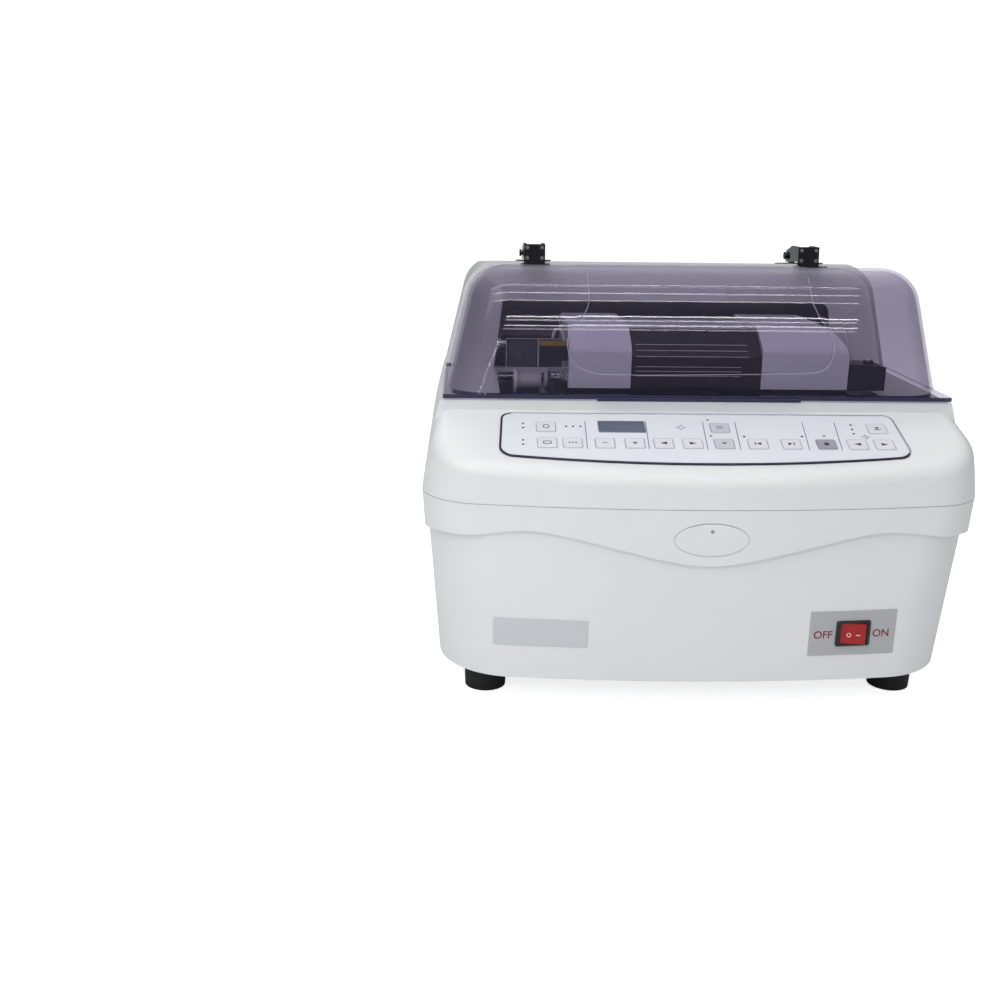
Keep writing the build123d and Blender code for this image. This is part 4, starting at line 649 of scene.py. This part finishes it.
# Hose loop over the left bay: an arc a little longer than a half turn.
LOOP_X, LOOP_Y, LOOP_Z = -0.1337, -0.0735, 0.3355
LOOP_WIDE, LOOP_HIGH = 0.0052, 0.0085
bm = bmesh.new()
angles = [k * pi / 12 for k in range(-1, 14)]
tube(bm, [(LOOP_X + LOOP_WIDE * cos(a), LOOP_Y, LOOP_Z + LOOP_HIGH * sin(a)) for a in angles], 0.0013)
new_object("drip_tube", bm, PALE_PRINT, "carriage")

# Collars on the thin end of the left lens shaft, and a lever on the pattern's hub.
SHAFT_Y, SHAFT_Z = -0.063, 0.295
bm = bmesh.new()
axis = Face((-0.1425, SHAFT_Y, SHAFT_Z), (0, 1, 0), (1, 0, 0))
for start, length, r, sides in ((0.0, 0.0030, 0.0064, 6), (0.0125, 0.0022, 0.0060, 24),
                                (0.0155, 0.0024, 0.0078, 24)):
    slab(bm, axis, ring_points(r, sides), start, start + length)
new_object("shaft_collars", bm, STEEL, "left_shaft", bevel=0.0003)
LEVER_X = -0.1480
bm = bmesh.new()
rod(bm, (LEVER_X, SHAFT_Y - 0.0098, SHAFT_Z), (LEVER_X, SHAFT_Y - 0.0150, SHAFT_Z), 0.0016)
rod(bm, (LEVER_X, SHAFT_Y - 0.0145, SHAFT_Z - 0.0055), (LEVER_X, SHAFT_Y - 0.0145, SHAFT_Z + 0.0065), 0.0010)
new_object("pattern_lock_lever", bm, BLACK, "left_shaft", bevel=0.0002)

# Dark window of the splash visor: two groups of three light lines, the lower ones shorter.
LINE_START, LINE_LIFT, LINE_RADIUS = -0.056, 0.0002, 0.00032
bm = bmesh.new()
for long, heights in ((0.111, (0.3285, 0.3235, 0.3185)), (0.104, (0.3085, 0.3040, 0.2995))):
    for z in heights:
        here = on_node("splash_visor", (0.0, -0.14, z), REARWARD)[0]
        left = here + Vector((LINE_START, LINE_LIFT, 0))
        tube(bm, [left, left + Vector((long, 0, 0))], LINE_RADIUS, 8)
new_object("visor_lines", bm, PALE_PRINT, "visor")

# Painted highlight along the raised edge of the bell-shaped pad in the lid's front, a fine bright line laid
# on the surface: X and Z as seen from the front, down the left side, round the foot and up the right side.
BELL = [(-0.1078, 0.4032), (-0.1080, 0.3932), (-0.1075, 0.3827), (-0.1074, 0.3737), (-0.1092, 0.3672),
        (-0.1130, 0.3606), (-0.1200, 0.3521), (-0.1252, 0.3446), (-0.1271, 0.3380), (-0.1270, 0.3314),
        (-0.1254, 0.3239), (-0.1214, 0.3173), (-0.1145, 0.3112), (-0.1048, 0.3072), (-0.0932, 0.3056),
        (-0.0566, 0.3051), (0.0, 0.3059), (0.0593, 0.3068), (0.0980, 0.3076), (0.1126, 0.3086),
        (0.1193, 0.3102), (0.1262, 0.3155), (0.1298, 0.3241), (0.1302, 0.3336), (0.1279, 0.3422),
        (0.1230, 0.3502), (0.1142, 0.3609), (0.1070, 0.3739), (0.1045, 0.3865), (0.1040, 0.4030)]
BEFORE_LID = -0.3
path = []
for (x0, z0), (x1, z1) in zip(BELL, BELL[1:]):
    for i in range(3):
        x, z = x0 + (x1 - x0) * i / 3, z0 + (z1 - z0) * i / 3
        path.append(on_node("lid_dome", (x, BEFORE_LID, z), REARWARD)[0])
bm = bmesh.new()
tube(bm, path, 0.00034, 6)
new_object("pad_edge_painted_highlight", bm, PAD_HIGHLIGHT_LINE, "lid")

# Domed head of the clamp drive with its thin release rod.
bm = bmesh.new()
top = Face((0.1787, -0.065, 0.3148), (1, 0, 0), (0, 0, 1))
dome(bm, top, 0, 0, 0.0036, 0.0016, 0.0, 4, 20)
new_object("drive_screw", bm, CHROME, "carriage")
bm = bmesh.new()
tube(bm, [(0.1660, -0.0560, 0.3085), (0.1625, -0.0545, 0.3210), (0.1575, -0.0525, 0.3400),
          (0.1545, -0.0510, 0.3500)], 0.0009)
new_object("release_rod", bm, PALE_PRINT, "carriage")


# ------------------------------------------------------------------ floor, light
FLOOR_GLOW = 0.80           # the floor looks white to the camera and lights nothing
SKY_LOW, SKY_HIGH = 0.115, 0.42
LAMP_WHITE = (0.98, 0.98, 1.0)

# Long lamps, each seen as one bright streak on the lid's rounded brow or its front face: Y, Z, width, power.
TUBES = ((-0.79, 2.03, 0.07, 6.6), (-1.37, 1.63, 0.06, 6.0), (-1.75, 1.045, 0.06, 5.3),
         (-1.88, 0.516, 0.003, 0.70), (-1.88, 0.494, 0.003, 0.45))
TUBE_X, TUBE_LONG = -0.55, 2.6


def pale_floor():
    """Pale ground that keeps the object's shadow and looks white to the camera."""
    bm = bmesh.new()
    bmesh.ops.create_grid(bm, x_segments=2, y_segments=2, size=9)
    me = bpy.data.meshes.new("floor")
    bm.to_mesh(me)
    bm.free()
    floor = bpy.data.objects.new("floor", me)
    bpy.context.scene.collection.objects.link(floor)
    m = material("floor_pale", (0.93, 0.93, 0.935), rough=0.6, vary=0.004, grain=3)
    me.materials.append(m)
    tree = m.node_tree
    surface = find(tree, "BSDF_PRINCIPLED")
    surface.inputs["Emission Color"].default_value = (1, 1, 1, 1)
    look_at = add(tree, "LightPath")
    glow = add(tree, "Math", {1: FLOOR_GLOW}, {0: look_at.outputs["Is Camera Ray"]})
    glow.operation = "MULTIPLY"
    tree.links.new(glow.outputs[0], surface.inputs["Emission Strength"])


def sky():
    """Soft light that is stronger from above; the camera sees white instead."""
    world = bpy.data.worlds.new("world")
    bpy.context.scene.world = world
    world.use_nodes = True
    tree = world.node_tree
    soft = tree.nodes["Background"]
    soft.inputs[0].default_value = (0.96, 0.97, 1.0, 1)
    way = add(tree, "SeparateXYZ", feeds={0: add(tree, "TexCoord").outputs["Generated"]})
    level = add(tree, "MapRange", {"From Min": 0.08, "From Max": 0.55, "To Min": SKY_LOW, "To Max": SKY_HIGH},
                {0: way.outputs["Z"]})
    tree.links.new(level.outputs[0], soft.inputs[1])
    white = add(tree, "Background", {0: (1, 1, 1, 1), 1: 1.05})
    look_at = add(tree, "LightPath")
    both = add(tree, "MixShader", feeds={0: look_at.outputs["Is Camera Ray"], 1: soft.outputs[0],
                                         2: white.outputs[0]})
    tree.links.new(both.outputs[0], tree.nodes["World Output"].inputs[0])


def lamp(name, where, aim, size, power, colour=(1, 1, 1), size_y=None):
    """Area lamp at a place, turned to a point; with size_y it is a long one."""
    data = bpy.data.lights.new(name, "AREA")
    data.energy = power
    data.color = colour
    data.size = size
    if size_y:
        data.shape = "RECTANGLE"
        data.size_y = size_y
    o = bpy.data.objects.new(name, data)
    o.location = where
    o.rotation_euler = (Vector(aim) - Vector(where)).to_track_quat("-Z", "Y").to_euler()
    bpy.context.scene.collection.objects.link(o)


pale_floor()
sky()
lamp("key", (-1.3, -1.4, 1.5), (0, 0, 0.2), 1.5, 9)
lamp("overhead", (-0.1, 0.5, 2.3), (0, 0, 0), 3.0, 18)
lamp("back", (0.3, 1.8, 1.8), (0, 0, 0.3), 1.6, 3)
for k, (y, z, width, power) in enumerate(TUBES):
    lamp(f"tube_{k}", (TUBE_X, y, z), (TUBE_X, -0.10, 0.37), TUBE_LONG, power, LAMP_WHITE, width)

bpy.context.scene.view_settings.view_transform = "Standard"
